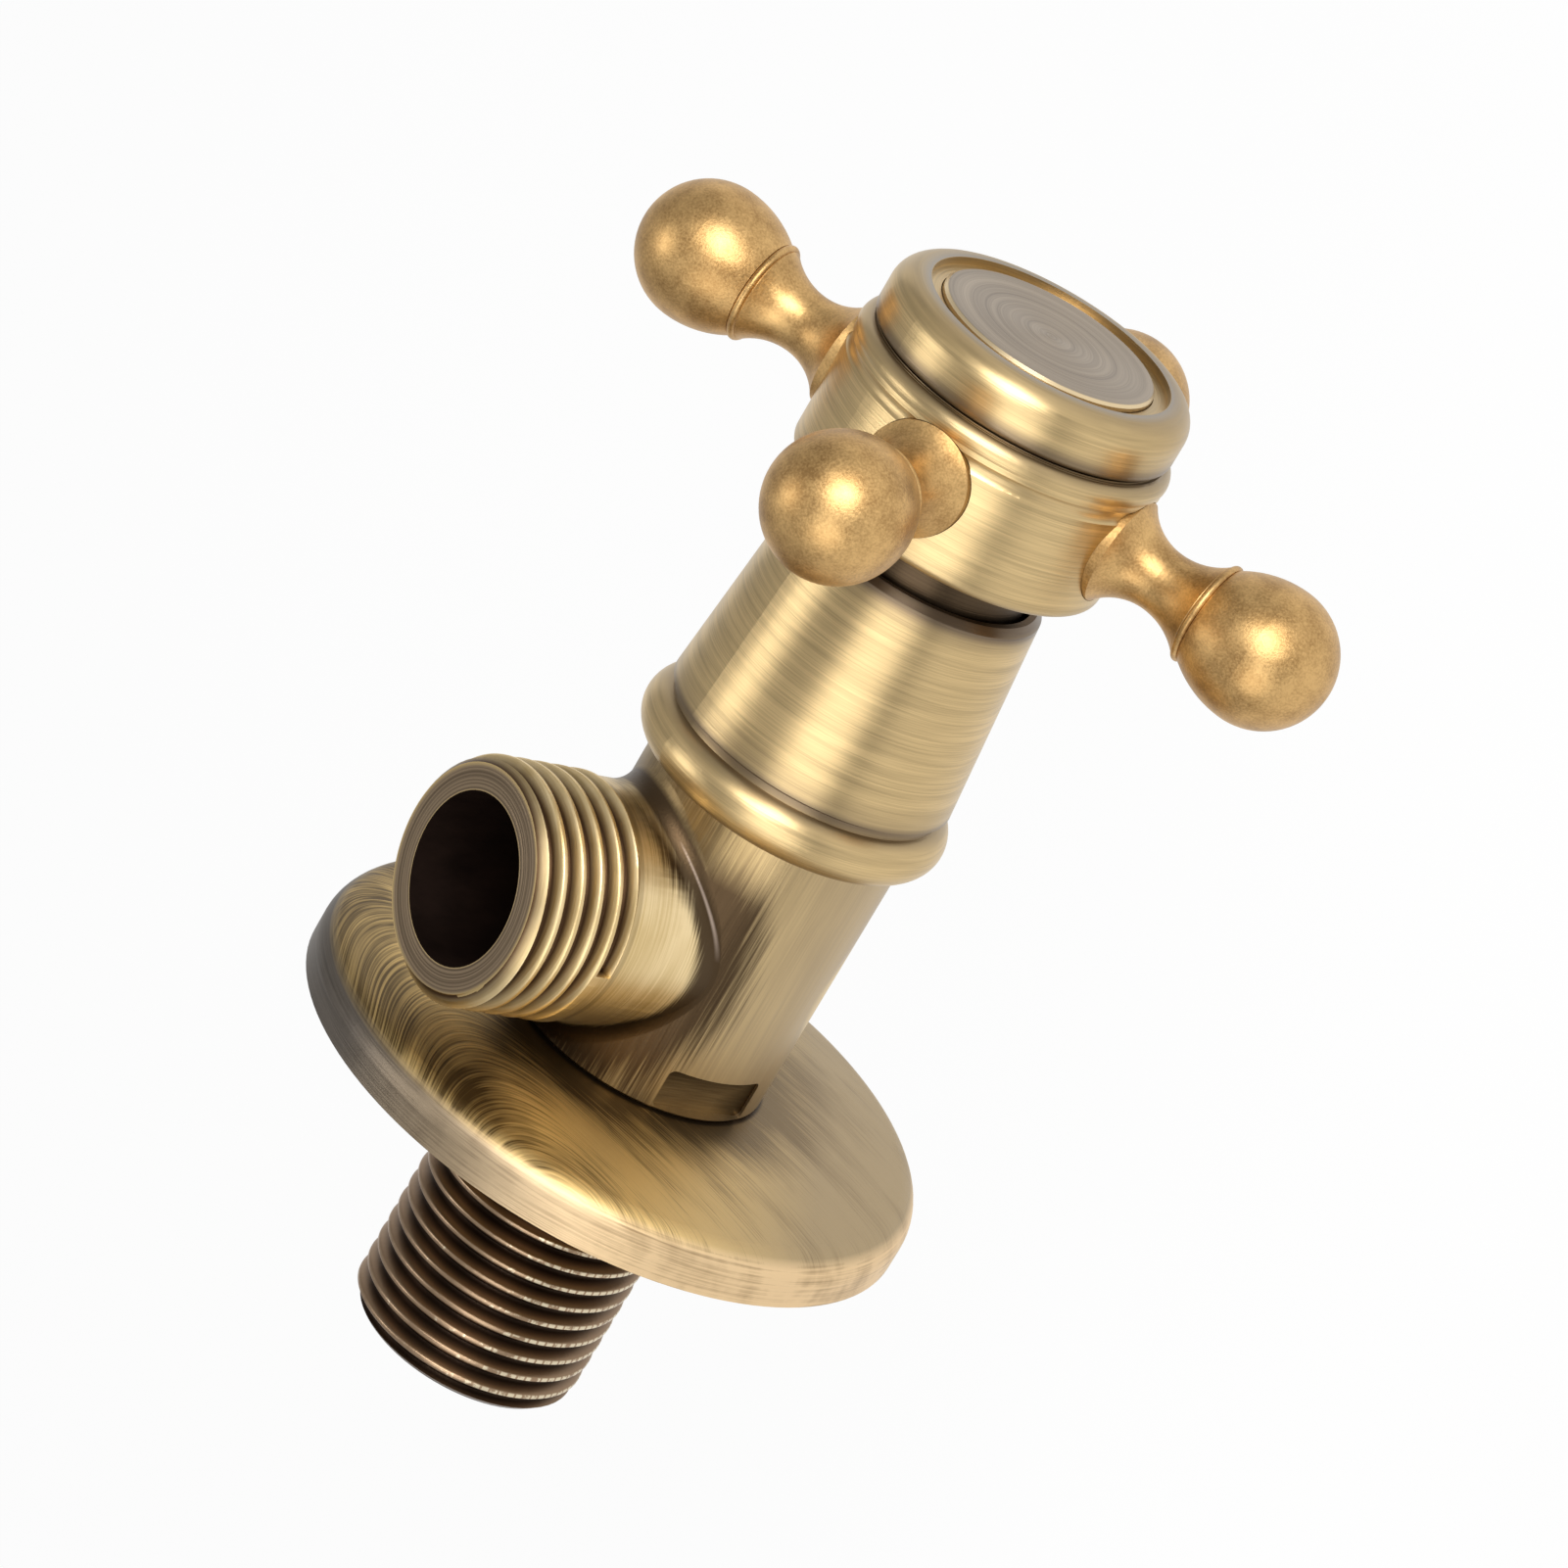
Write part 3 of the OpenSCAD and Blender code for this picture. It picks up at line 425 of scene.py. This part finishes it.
def flange_brass(name):
    graph = Graph(name)
    place = Place(graph)
    along = to_right(place)
    stroke = stroke_line(place)
    strokes = streaks(stroke * 4.2, along * 0.16, place.height * 0.2, detail=2.0)
    ringed = streaks(place.height * 5.5, place.across * 0.08, place.upward * 0.08, detail=2.0)
    clouds = streaks(stroke * 0.16, along * 0.09, place.height * 0.2)
    on_rim = place.radius.fade(26.6, 27.3)
    fine = graph.mix(on_rim, strokes, ringed)
    # Painted light and shade by side: the flange is paler and greyer at the right, and its rim is
    # dark grey at the left.
    painted_right_side = along.fade(0.0, 17.0)
    rim_painted_side = along.fade(-24.0, 2.0)
    light = graph.mix(on_rim, graph.mix(painted_right_side, FLANGE_GOLD, FLANGE_PALE),
                      graph.mix(rim_painted_side, RIM_GREY, RIM_GOLD))
    shade = graph.mix(on_rim, graph.mix(painted_right_side, FLANGE_GOLD_SHADE, FLANGE_PALE_SHADE),
                      graph.mix(rim_painted_side, RIM_GREY_SHADE, RIM_GOLD_SHADE))
    colour = graph.mix(bare_metal_less_shade(place, fine, clouds, on_rim), shade, light)
    # Painted shade in a ring where the body sits on the flange.
    joint_shade = place.radius.fade(11.6, 11.85, 0.9, 0.0)
    colour = graph.mix(joint_shade, colour, SHADE_BLACK)
    return surface(graph, colour, roughness=fine * 0.18 + 0.38, lines=fine, depth=0.3)


finishes["escutcheon"] = flange_brass("flange_brass")
print("flange finish added")

# %% [markdown]
# ## Index disc
# The disc in the cap was faced on a lathe and keeps the rings of that cut, so its noise is
# squeezed along the radius. Its bevelled edge gets a painted highlight, a thin ring of bright
# colour.

# %% Disc brass
DISC_DARK = (0.23, 0.185, 0.14)
DISC_LIGHT = (0.42, 0.345, 0.262)
DISC_EDGE_HIGHLIGHT = (0.78, 0.62, 0.38)


def faced_brass(name):
    graph = Graph(name)
    place = Place(graph)
    rings = streaks(place.radius * 5.0, place.across * 0.02, place.upward * 0.02)
    wide = streaks(place.radius * 1.1, place.across * 0.02, place.upward * 0.02)
    tone = (rings * 0.5 + wide * 0.5).fade(0.36, 0.64)
    colour = graph.mix(tone, DISC_DARK, DISC_LIGHT)
    # Painted highlight on the bevelled edge.
    colour = graph.mix(place.radius.fade(9.22, 9.3), colour, DISC_EDGE_HIGHLIGHT)
    roughness = rings * 0.16 + 0.30
    return surface(graph, colour, roughness, lines=rings, depth=0.3, stretch=0.5)


finishes["index_disc"] = faced_brass("index_brass")
print("disc finish added")

# %% [markdown]
# ## Inner pieces
# The cartridge can't be seen until the valve is taken apart, but it is part of the model. Rubber
# is matt and slightly dusty, ceramic is white with a hint of lapping, and the brass and steel
# inside are plain turned metal. Nothing wears them, so pieces of one stuff share one finish.

# %% Finishes for the inner pieces
def inner_metal(name, dark, light):
    graph = Graph(name)
    fine = turned_lines(Place(graph), fineness=5.0, drawn_out=0.10)
    colour = graph.mix(fine, dark, light)
    return surface(graph, colour, roughness=0.3, lines=fine, depth=0.2)


def moulded(name, dark, light, roughness, fineness):
    graph = Graph(name)
    specks = pattern(Place(graph), fineness, fineness, fineness)
    colour = graph.mix(specks, dark, light)
    return surface(graph, colour, roughness, lines=specks, depth=0.15, metallic=0.0)


inner_brass = inner_metal("machined_brass", dark=(0.46, 0.33, 0.15), light=(0.66, 0.50, 0.24))
steel = inner_metal("plain_steel", dark=(0.42, 0.42, 0.43), light=(0.62, 0.62, 0.62))
rubber = moulded("black_rubber", dark=(0.02, 0.02, 0.02), light=(0.05, 0.05, 0.05),
                 roughness=0.7, fineness=3.0)
ceramic = moulded("lapped_ceramic", dark=(0.78, 0.77, 0.74), light=(0.86, 0.85, 0.82),
                  roughness=0.22, fineness=2.0)
plastic = moulded("low_friction_plastic", dark=(0.76, 0.76, 0.74), light=(0.86, 0.86, 0.84),
                  roughness=0.4, fineness=2.5)
print("inner finishes", [item.name for item in (inner_brass, steel, rubber, ceramic, plastic)])

# %% Give every node its finish
inner_pieces = {
    inner_brass: ("cartridge_housing", "spindle", "spline_insert", "valve_body"),
    steel: ("spindle_clip", "screw_washer", "handle_screw"),
    rubber: ("housing_gasket", "seat_seal", "spindle_o_ring_lower", "spindle_o_ring_upper",
             "escutcheon_grip_ring"),
    ceramic: ("fixed_ceramic_disc", "moving_ceramic_disc"),
    plastic: ("thrust_washer",),
}
for material, names in inner_pieces.items():
    finishes.update({name: material for name in names})
for name, material in finishes.items():
    mesh = nodes[name].data
    mesh.materials.clear()
    mesh.materials.append(material)
print("finished nodes", len(finishes), "of", len(nodes))

# %% [markdown]
# ## Screw threads
# A thread is a groove that winds round a plain cylinder. A picture of grooves would look flat at
# the edges, so the thread is made here as it is made on a lathe: the outline of one groove is
# wound into a coil with the Screw modifier, and the coil is then cut from the body. Its ends and
# its turns sit where the photograph shows them, and the pitch is the one read from the
# photograph. A standard half-inch pipe thread has 1.814 mm.

# %% Sizes of the threads
mounts = {mount["name"]: mount for mount in frame["record"]["mounts"]}
outlet_y = mounts["outlet_thread"]["pos_m"][1]
crest_r = mounts["inlet_thread"]["dims"]["r_mm"] * MM
root_r = 9.3 * MM
thread_pitch = 1.885 * MM
print("outlet axis at", outlet_y, "crest radius", crest_r, "root radius", root_r)

# %% Tools for meshes
def only(item):
    """Makes one object the only selected and the active one."""
    bpy.ops.object.select_all(action="DESELECT")
    item.select_set(True)
    bpy.context.view_layer.objects.active = item


def new_object(name, points, edges, faces):
    mesh = bpy.data.meshes.new(name)
    mesh.from_pydata(points, edges, faces)
    item = bpy.data.objects.new(name, mesh)
    bpy.context.scene.collection.objects.link(item)
    return item


def apply(item, kind, **settings):
    """Adds one modifier with its settings and applies it."""
    only(item)
    made = item.modifiers.new(kind.lower(), kind)
    for key, value in settings.items():
        setattr(made, key, value)
    bpy.ops.object.modifier_apply(modifier=made.name)


def cut_or_join(item, tool, operation):
    """Boolean of two closed meshes, after which the tool is thrown away."""
    apply(item, "BOOLEAN", operation=operation, object=tool, solver="EXACT")
    bpy.data.objects.remove(tool)


print("mesh tools ready")

# %% Editing a whole mesh
def open_mesh(item):
    """Starts Edit mode on one object with all of its mesh selected."""
    only(item)
    bpy.ops.object.mode_set(mode="EDIT")
    bpy.ops.mesh.select_all(action="SELECT")


def close_mesh():
    bpy.ops.object.mode_set(mode="OBJECT")


print("editing ready")

# %% Outline of one groove
OUTLINE_STEPS = 14


def groove_outline():
    """A rounded groove, as points (radius, 0, along the axis). It reaches out past the crest."""
    # A little less than half a pitch keeps neighbouring turns of the coil apart.
    half = 0.49 * thread_pitch
    mouth_r = crest_r + 0.05 * MM
    outside_r = crest_r + MM
    outline = [(outside_r, 0.0, -half)]
    for index in range(OUTLINE_STEPS + 1):
        along = half * (2.0 * index / OUTLINE_STEPS - 1.0)
        rise = math.sin(math.pi * along / thread_pitch) ** 2
        outline.append((root_r + (mouth_r - root_r) * rise ** 0.85, 0.0, along))
    outline.append((outside_r, 0.0, half))
    return outline


print("groove outline of", len(groove_outline()), "points")

# %% The groove wound into a coil
STEPS_PER_TURN = 96


def groove_coil(name, first, turns, start_angle, axes, origin):
    """Groove of a right-handed thread. It starts at a distance along its axis and at an angle."""
    outline = groove_outline()
    edges = [(index, (index + 1) % len(outline)) for index in range(len(outline))]
    coil = new_object(name, outline, edges, [])
    apply(coil, "SCREW", axis="Z", angle=2.0 * math.pi, screw_offset=thread_pitch,
          iterations=turns, steps=STEPS_PER_TURN, render_steps=STEPS_PER_TURN,
          use_normal_calculate=True)
    open_mesh(coil)
    bpy.ops.mesh.select_all(action="DESELECT")
    bpy.ops.mesh.select_non_manifold()
    bpy.ops.mesh.fill_holes(sides=0)
    bpy.ops.mesh.select_all(action="SELECT")
    bpy.ops.mesh.normals_make_consistent(inside=False)
    close_mesh()
    spin = Matrix.Rotation(start_angle, 4, "Z")
    lift = Matrix.Translation((0.0, 0.0, first))
    stand = Matrix.Translation(origin) @ Matrix(axes).transposed().to_4x4()
    coil.data.transform(stand @ lift @ spin)
    return coil


print("coil maker ready,", STEPS_PER_TURN, "steps in each turn")

# %% Grooves of outlet and tail
outlet_axes = ((-1.0, 0.0, 0.0), (0.0, -1.0, 0.0), (0.0, 0.0, 1.0))
outlet_start, outlet_turns = 16.2 * MM, 6
outlet_coil = groove_coil("outlet_groove", outlet_start, outlet_turns, math.radians(-3.5),
                          outlet_axes, (0.0, outlet_y, 0.0))
tail_axes = ((0.0, 0.0, 1.0), (-1.0, 0.0, 0.0), (0.0, -1.0, 0.0))
tail_end, tail_turns = 0.45 * MM, 15
tail_coil = groove_coil("tail_groove", tail_end - tail_turns * thread_pitch, tail_turns, 0.0,
                        tail_axes, (0.0, 0.0, 0.0))
print("coil faces", len(outlet_coil.data.polygons), len(tail_coil.data.polygons))

# %% [markdown]
# ## The crotch
# Where the outlet leaves the barrel, the casting has a soft blend. A bevel along the joint of two
# cylinders is hard to keep even, so the blend is built point by point. It is the surface that a
# ball leaves when it is rolled round the junction and touches both cylinders. Its section at
# each angle is an arc between the two points where the ball touches. Two more points, at a share
# of the distance, close each section inside the metal.

# %% Section of the blend
ARC_STEPS = 10
DEEP_SHARE, SHALLOW_SHARE = 0.8, 0.9


def blend_section(angle, ball_r, barrel_r, branch_r):
    """Two points inside the metal, then the arc that the ball leaves at one angle."""
    sine, cosine = math.sin(angle), math.cos(angle)
    across = (branch_r + ball_r) * sine
    along = (branch_r + ball_r) * cosine
    out = math.sqrt((barrel_r + ball_r) ** 2 - across ** 2)
    ball = Vector((across, along, out))
    to_branch = Vector((-sine, -cosine, 0.0))
    to_barrel = Vector((-across, 0.0, -out)).normalized()
    arc = [ball + ball_r * to_branch.slerp(to_barrel, step / ARC_STEPS)
           for step in range(ARC_STEPS + 1)]
    inside_r = DEEP_SHARE * branch_r
    deep = Vector((inside_r * sine, inside_r * cosine, DEEP_SHARE * arc[-1].z))
    shallow = Vector((SHALLOW_SHARE * arc[0].x, SHALLOW_SHARE * arc[0].y, arc[0].z))
    return [deep, shallow] + arc


print("blend section ready, arc of", ARC_STEPS, "steps")

# %% Blend between outlet and barrel
BLEND_ROWS = 120


def crotch_blend(ball_r, barrel_r, branch_r):
    """Closed ring of sections round the outlet."""
    points, faces = [], []
    for row in range(BLEND_ROWS):
        angle = 2.0 * math.pi * row / BLEND_ROWS
        for point in blend_section(angle, ball_r, barrel_r, branch_r):
            points.append((point.x, outlet_y + point.y, point.z))
    size = len(points) // BLEND_ROWS
    for row in range(BLEND_ROWS):
        after = (row + 1) % BLEND_ROWS
        for step in range(size):
            above = (step + 1) % size
            faces.append((row * size + step, row * size + above,
                          after * size + above, after * size + step))
    return new_object("crotch_blend", points, [], faces)


barrel_r = 11.5 * MM
branch_r = 10.1 * MM
blend_ball_r = 2.7 * MM
tuck = 0.03 * MM
blend = crotch_blend(blend_ball_r, barrel_r - tuck, branch_r - tuck)
open_mesh(blend)
bpy.ops.mesh.normals_make_consistent(inside=False)
close_mesh()
print("blend faces", len(blend.data.polygons))

# %% Blend cut off at the shoulder of the tail
shoulder_y = -6.3 * MM
block = 40 * MM
bpy.ops.mesh.primitive_cube_add(size=block, location=(0.0, shoulder_y + block / 2, 0.0))
cut_or_join(blend, bpy.context.object, "DIFFERENCE")
print("blend size mm", [round(TO_MM * size, 2) for size in blend.dimensions])

# %% [markdown]
# ## The finished body
# The body is a copy of the imported solid's mesh, welded, with the blend joined on and both grooves
# cut out. The imported solid itself isn't touched. It stays in place for the collisions, hidden.

# %% Copy of the imported solid
body = bpy.data.objects.new("body_casting", nodes["valve_body"].data.copy())
bpy.context.scene.collection.objects.link(body)
body.matrix_world = nodes["valve_body"].matrix_world.copy()
only(body)
bpy.ops.object.transform_apply(location=True, rotation=True, scale=True)
bpy.ops.mesh.customdata_custom_splitnormals_clear()
open_mesh(body)
bpy.ops.mesh.mark_sharp(clear=True)
bpy.ops.mesh.remove_doubles(threshold=0.001 * MM)
close_mesh()
print("copied faces", len(body.data.polygons))

# %% Blend joined, grooves cut
cut_or_join(body, blend, "UNION")
cut_or_join(body, outlet_coil, "DIFFERENCE")
cut_or_join(body, tail_coil, "DIFFERENCE")
sliver = 0.004 * MM
open_mesh(body)
bpy.ops.mesh.remove_doubles(threshold=sliver)
bpy.ops.mesh.dissolve_degenerate(threshold=sliver)
close_mesh()
bpy.ops.object.shade_smooth_by_angle(angle=math.radians(32.0))
apply(body, "WEIGHTED_NORMAL", keep_sharp=True)
print("body faces", len(body.data.polygons))

# %% Body in place of the solid
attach(body, "valve")
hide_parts("valve_body")
solid_low, solid_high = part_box("valve_body")
room = 0.01 * MM
for vertex in body.data.vertices:
    for low, value, high in zip(solid_low, vertex.co, solid_high):
        assert low - room <= value <= high + room, "the body piece leaves the solid's box"
print("body box mm", [round(TO_MM * size, 2) for size in body.dimensions])

# %% [markdown]
# ## Barrel and outlet
# The barrel is brushed along its own axis and the outlet round its own. Both are one casting, so
# one finish holds both and changes where the two meet. Dark patina gathers in the crotch, where
# the brush doesn't reach, and a painted highlight, a thin pale line, runs along the crease. The
# barrel's right side is painted paler, as light. The patina could be painted, but distances
# from the two axes place it the same way in every render.

# %% Distances on the body
CREASE = 1.4
THREAD_FOOT = 14.8
PATINA_TOP = 17.0


def from_outlet(place):
    """Distance from the outlet's axis in millimetres."""
    return distance(place.across, place.height + TO_MM * outlet_y)


def beside_crease(place):
    """Distance from the crease, where the two radii differ as those of barrel and outlet do."""
    return abs(from_outlet(place) + CREASE - place.radius)


print("crease where the radii differ by", CREASE, "outlet thread from", THREAD_FOOT)

# %% Patina of the crotch, painted highlight on the crease and thread roots
def crotch_patina(place, fine, clouds):
    """Share of dark patina. It fades up the barrel and up the outlet with a brushed edge."""
    start_on_barrel, reach_on_barrel = 10.6, 6.0
    start_on_outlet, reach_on_outlet = 12.0, place.height.fade(22.0, 27.0, 1.2, 3.2)
    below = larger(6.0 - place.upward, 0.0)
    up_barrel = (from_outlet(place) + below - start_on_barrel) / reach_on_barrel
    up_outlet = (place.radius - start_on_outlet) / reach_on_outlet
    away = larger(up_barrel, up_outlet) + (fine * 0.95 + clouds * 0.5)
    kept = away.fade(0.97, 1.70, 0.96, 0.0, smooth=True)
    under_bead = place.height.fade(26.5, 29.5, 1.0, 0.5)
    in_valley = beside_crease(place).fade(0.9, 2.2, 1.0, 0.0)
    return kept * larger(under_bead, in_valley) * (place.upward < PATINA_TOP)


def crease_highlight(place):
    """Share of painted highlight in a thin line along the crease, on the side towards the handle.
    """
    line = beside_crease(place).fade(0.0, 0.2, 0.6, 0.0, smooth=True)
    return line * (place.height.fade(20.5, 23.5) * place.across.fade(-4.5, -8.0))


def outlet_roots(place):
    """Share of black in the grooves of the outlet's thread."""
    return from_outlet(place).fade(9.55, 10.3, 0.97, 0.0) * (place.upward > THREAD_FOOT)


print("shares of patina ready")

# %% Brushed barrel, outlet and outlet thread
BARREL_SHADE, BARREL_GOLD = (0.34, 0.24, 0.115), (0.54, 0.395, 0.19)
BARREL_PALE = (0.52, 0.41, 0.265)
OUTLET_SHADE, OUTLET_GOLD = (0.62, 0.455, 0.21), (0.86, 0.68, 0.39)
CROTCH_BLACK, ROOT_BLACK = (0.060, 0.037, 0.020), (0.075, 0.038, 0.020)
CREASE_HIGHLIGHT = (0.66, 0.52, 0.42)


def barrel_brass(name):
    graph = Graph(name)
    place = Place(graph)
    on_outlet = (place.radius - from_outlet(place)).fade(1.5, 2.3)
    lengthways = pattern(place, 6.0, 0.10, 6.0, detail=2.0)
    round_outlet = pattern(place, 0.10, 0.10, 6.5, detail=2.0)
    fine = graph.mix(on_outlet, lengthways, round_outlet)
    clouds = pattern(place, 0.30, 0.07, 0.30)
    tone = (fine * 0.5 + clouds * 0.5).fade(0.36, 0.64)
    barrel = graph.mix(tone, BARREL_SHADE, BARREL_GOLD)
    # Painted light: the barrel is paler towards its right side.
    barrel = graph.mix(to_right(place).fade(-3.0, 9.0, 0.0, 0.6), barrel, BARREL_PALE)
    colour = graph.mix(on_outlet, barrel, graph.mix(tone, OUTLET_SHADE, OUTLET_GOLD))
    colour = graph.mix(crotch_patina(place, fine, clouds), colour, CROTCH_BLACK)
    colour = graph.mix(outlet_roots(place), colour, ROOT_BLACK)
    # Painted highlight along the crease.
    colour = graph.mix(crease_highlight(place), colour, CREASE_HIGHLIGHT)
    return surface(graph, colour, roughness=fine * 0.18 + 0.31, lines=fine, depth=0.18)


zones = [barrel_brass("barrel_brass")]
print("barrel finish added")

# %% [markdown]
# ## Tail
# The inlet tail is dark in its grooves, and its crests carry short bright dashes, partly worn
# metal and partly painted highlight, as if fine notches crossed them. Cutting 80 notches into
# every turn would take many thousands of faces, so a pattern round the axis draws the dashes on
# the crests. Wear breaks them up, and painted shade leaves fewer bright at the left of the view.

# %% Blackened tail with bright crests
NOTCHES = 80.0
NOTCH_SHARE = 0.24
TAIL_ROOT, TAIL_FLANK = (0.045, 0.029, 0.020), (0.27, 0.18, 0.11)
CREST_BROWN, CREST_SHINE = (0.44, 0.31, 0.20), (0.72, 0.62, 0.44)


def dashes(graph, place):
    """1 between the notches, 0 in them."""
    angle = graph.math("ARCTAN2", place.across, place.upward)
    turned = angle * (NOTCHES / (2.0 * math.pi)) + 100.0
    return graph.math("FRACT", turned) > NOTCH_SHARE


def tail_brass(name):
    graph = Graph(name)
    place = Place(graph)
    wear = pattern(place, 1.4, 1.4, 1.4)
    # Painted shade: fewer bright dashes towards the left.
    kept = (wear + to_right(place).fade(-5.0, 4.0, -0.26, 0.05)).fade(0.40, 0.52)
    crest = place.radius.fade(10.31, 10.39)
    colour = graph.mix(place.radius.fade(9.5, 10.2), TAIL_ROOT, TAIL_FLANK)
    colour = graph.mix(crest * wear, colour, CREST_BROWN)
    # Bright crest dashes: worn metal and painted highlight.
    colour = graph.mix(crest * dashes(graph, place) * kept, colour, CREST_SHINE)
    return surface(graph, colour, roughness=0.34, lines=wear, depth=0.15)


zones.append(tail_brass("tail_brass"))
print("tail finish added,", NOTCHES, "notches round the crest")

# %% [markdown]
# ## Mouth, bore and wrench pocket
# The outlet's end was faced on a lathe, and its two edges are worn bright. The bore is coloured
# near black with brown stains. A pocket in the side of the body takes a wrench, and painted shade
# darkens its handle side and its end away from the outlet. One finish could tell these places
# apart by more distances, but small places are easier to adjust when each has a simple finish of
# its own.

# %% Faced mouth
MOUTH_SHADE, MOUTH_LIGHT = (0.14, 0.10, 0.062), (0.30, 0.22, 0.14)
MOUTH_EDGE = (0.66, 0.48, 0.22)


def mouth_brass(name):
    graph = Graph(name)
    place = Place(graph)
    ring = from_outlet(place)
    cut = streaks(ring * 6.0, place.across * 0.03, place.upward * 0.03, detail=2.0)
    face = graph.mix(cut.fade(0.36, 0.62), MOUTH_SHADE, MOUTH_LIGHT)
    outer_edge, bore_edge = ring.fade(9.15, 9.5), ring.fade(7.32, 7.22)
    colour = graph.mix(larger(outer_edge, bore_edge * 0.6), face, MOUTH_EDGE)
    return surface(graph, colour, roughness=0.34, lines=cut, depth=0.3)


zones.append(mouth_brass("mouth_brass"))
print("mouth finish added")

# %% Raw bore and wrench pocket
BORE_BLACK, BORE_BROWN = (0.014, 0.010, 0.009), (0.08, 0.046, 0.034)
POCKET_SHADE, POCKET_LIGHT = (0.15, 0.10, 0.048), (0.34, 0.24, 0.115)
POCKET_SHADOW = (0.03, 0.018, 0.008)


def dark_bore(name):
    graph = Graph(name)
    stain = pattern(Place(graph), 0.5, 0.5, 0.25, detail=4.0)
    colour = graph.mix(stain, BORE_BLACK, BORE_BROWN)
    return surface(graph, colour, roughness=0.55, lines=stain, depth=0.2)


def pocket_brass(name):
    graph = Graph(name)
    place = Place(graph)
    fine = streaks(place.upward * 0.3, place.height * 5.0, place.across * 0.3, detail=2.0)
    shaded_handle_side, shaded_far_end = place.height.fade(7.8, 9.9), place.upward.fade(-1.5, -4.8)
    colour = graph.mix(fine, POCKET_SHADE, POCKET_LIGHT)
    # Painted shade along the pocket's handle side and its far end.
    colour = graph.mix(larger(shaded_handle_side, shaded_far_end), colour, POCKET_SHADOW)
    return surface(graph, colour, roughness=0.42, lines=fine, depth=0.25)


zones += [dark_bore("dark_bore"), pocket_brass("pocket_brass")]
print("body finishes", [material.name for material in zones])

# %% [markdown]
# ## Finishes on the body's faces
# One mesh can hold several materials, and each face names the one it shows. The faces could be
# picked by hand, but the cuts give them new numbers each time the mesh changes. Here each face
# gets its finish from where its middle lies.

# %% The finish of each face
BARREL, TAIL, MOUTH, BORE, POCKET = range(5)


def zone_of(face):
    """The finish of one face, from the place of its middle in millimetres."""
    x, y, z = (TO_MM * part for part in face.center)
    off_axis, off_outlet = math.hypot(x, z), math.hypot(x, y - TO_MM * outlet_y)
    on_mouth = z > 25.2 and off_outlet < 9.6
    in_outlet_bore = z > 9.0 and off_outlet < 7.35
    in_inlet_bore = off_axis < 9.2 and abs(z) < 9.3
    on_tail = y > -5.9
    on_flat = 9.9 < abs(x) < 10.35 and abs(face.normal.x) > 0.98
    in_pocket = on_flat and y > -10.4 and abs(z) < 4.9
    if on_mouth:
        return MOUTH
    if in_outlet_bore or in_inlet_bore:
        return BORE
    if on_tail:
        return TAIL
    return POCKET if in_pocket else BARREL


body.data.materials.clear()
for material in zones:
    body.data.materials.append(material)
counts = [0] * len(zones)
for face in body.data.polygons:
    face.material_index = zone_of(face)
    counts[face.material_index] += 1
print("faces in each finish", counts)

# %% [markdown]
# ## Floor and light
# The photograph has a white ground and soft light from large panels. A plain white floor would
# render grey, because it only shows the light it gets. So the floor is shown white to the camera
# and in reflections, while it still takes light and a faint shadow as an ordinary pale surface.

# %% Floor
bpy.ops.object.select_all(action="DESELECT")
bpy.ops.mesh.primitive_plane_add(size=6.0, location=(0.0, 0.0, -0.10))
floor = bpy.context.object
floor.name = "studio_floor"
graph = Graph("pale_floor")
ray = graph.add("LightPath").outputs
seen_or_mirrored = graph.math("MAXIMUM", ray["Is Camera Ray"], ray["Is Glossy Ray"])
shown = larger(seen_or_mirrored, ray["Is Transmission Ray"])
matt = graph.add("BsdfDiffuse", {"Color": (0.82, 0.82, 0.82)})
white = graph.add("Emission", {"Color": (1.0, 1.0, 1.0), "Strength": 1.0})
ground = graph.add("MixShader", {0: shown * 0.9, 1: matt.outputs[0], 2: white.outputs[0]})
graph.join(ground.outputs[0], graph.output.inputs[0])
floor.data.materials.append(graph.material)
print("floor at height", floor.location.z)

# %% [markdown]
# ## Lamps and world
# Large square lamps close to the valve give the long soft highlights of a photo studio. A bright
# world alone would light every side alike. Four lamps and a pale world together leave the darker
# sides that the photograph shows. Each lamp's direction is given as the camera sees it.

# %% Lamps
def seen(right, up, back):
    """A direction given as the camera sees it: to its right, upwards and towards it."""
    return camera_right * right + camera_up * up + camera_back * back


def panel(name, direction, far, size, power):
    """A square area lamp that looks at the middle of the valve."""
    data = bpy.data.lights.new(name, "AREA")
    data.size = size
    data.energy = power
    lamp = bpy.data.objects.new(name, data)
    bpy.context.scene.collection.objects.link(lamp)
    middle = Vector((0.0, -0.03, 0.0))
    away = direction.normalized()
    lamp.location = middle + away * far
    lamp.rotation_euler = away.to_track_quat("Z", "Y").to_euler()


panel("key_panel", seen(0.15, 0.35, 0.95), far=0.62, size=0.38, power=3.3)
panel("mirror_panel", seen(-0.24, -0.60, 0.75), far=0.6, size=0.42, power=1.25)
panel("left_panel", seen(-1.0, 0.3, 0.35), far=0.6, size=0.25, power=0.65)
panel("right_panel", seen(1.0, -0.1, 0.2), far=0.6, size=0.25, power=1.0)

# %% World
world = bpy.data.worlds.new("studio")
bpy.context.scene.world = world
world.use_nodes = True
background = world.node_tree.nodes["Background"]
background.inputs["Color"].default_value = (0.5, 0.5, 0.5, 1.0)
background.inputs["Strength"].default_value = 0.98
bpy.context.scene.view_settings.view_transform = "Standard"
print("world strength", round(background.inputs["Strength"].default_value, 3))
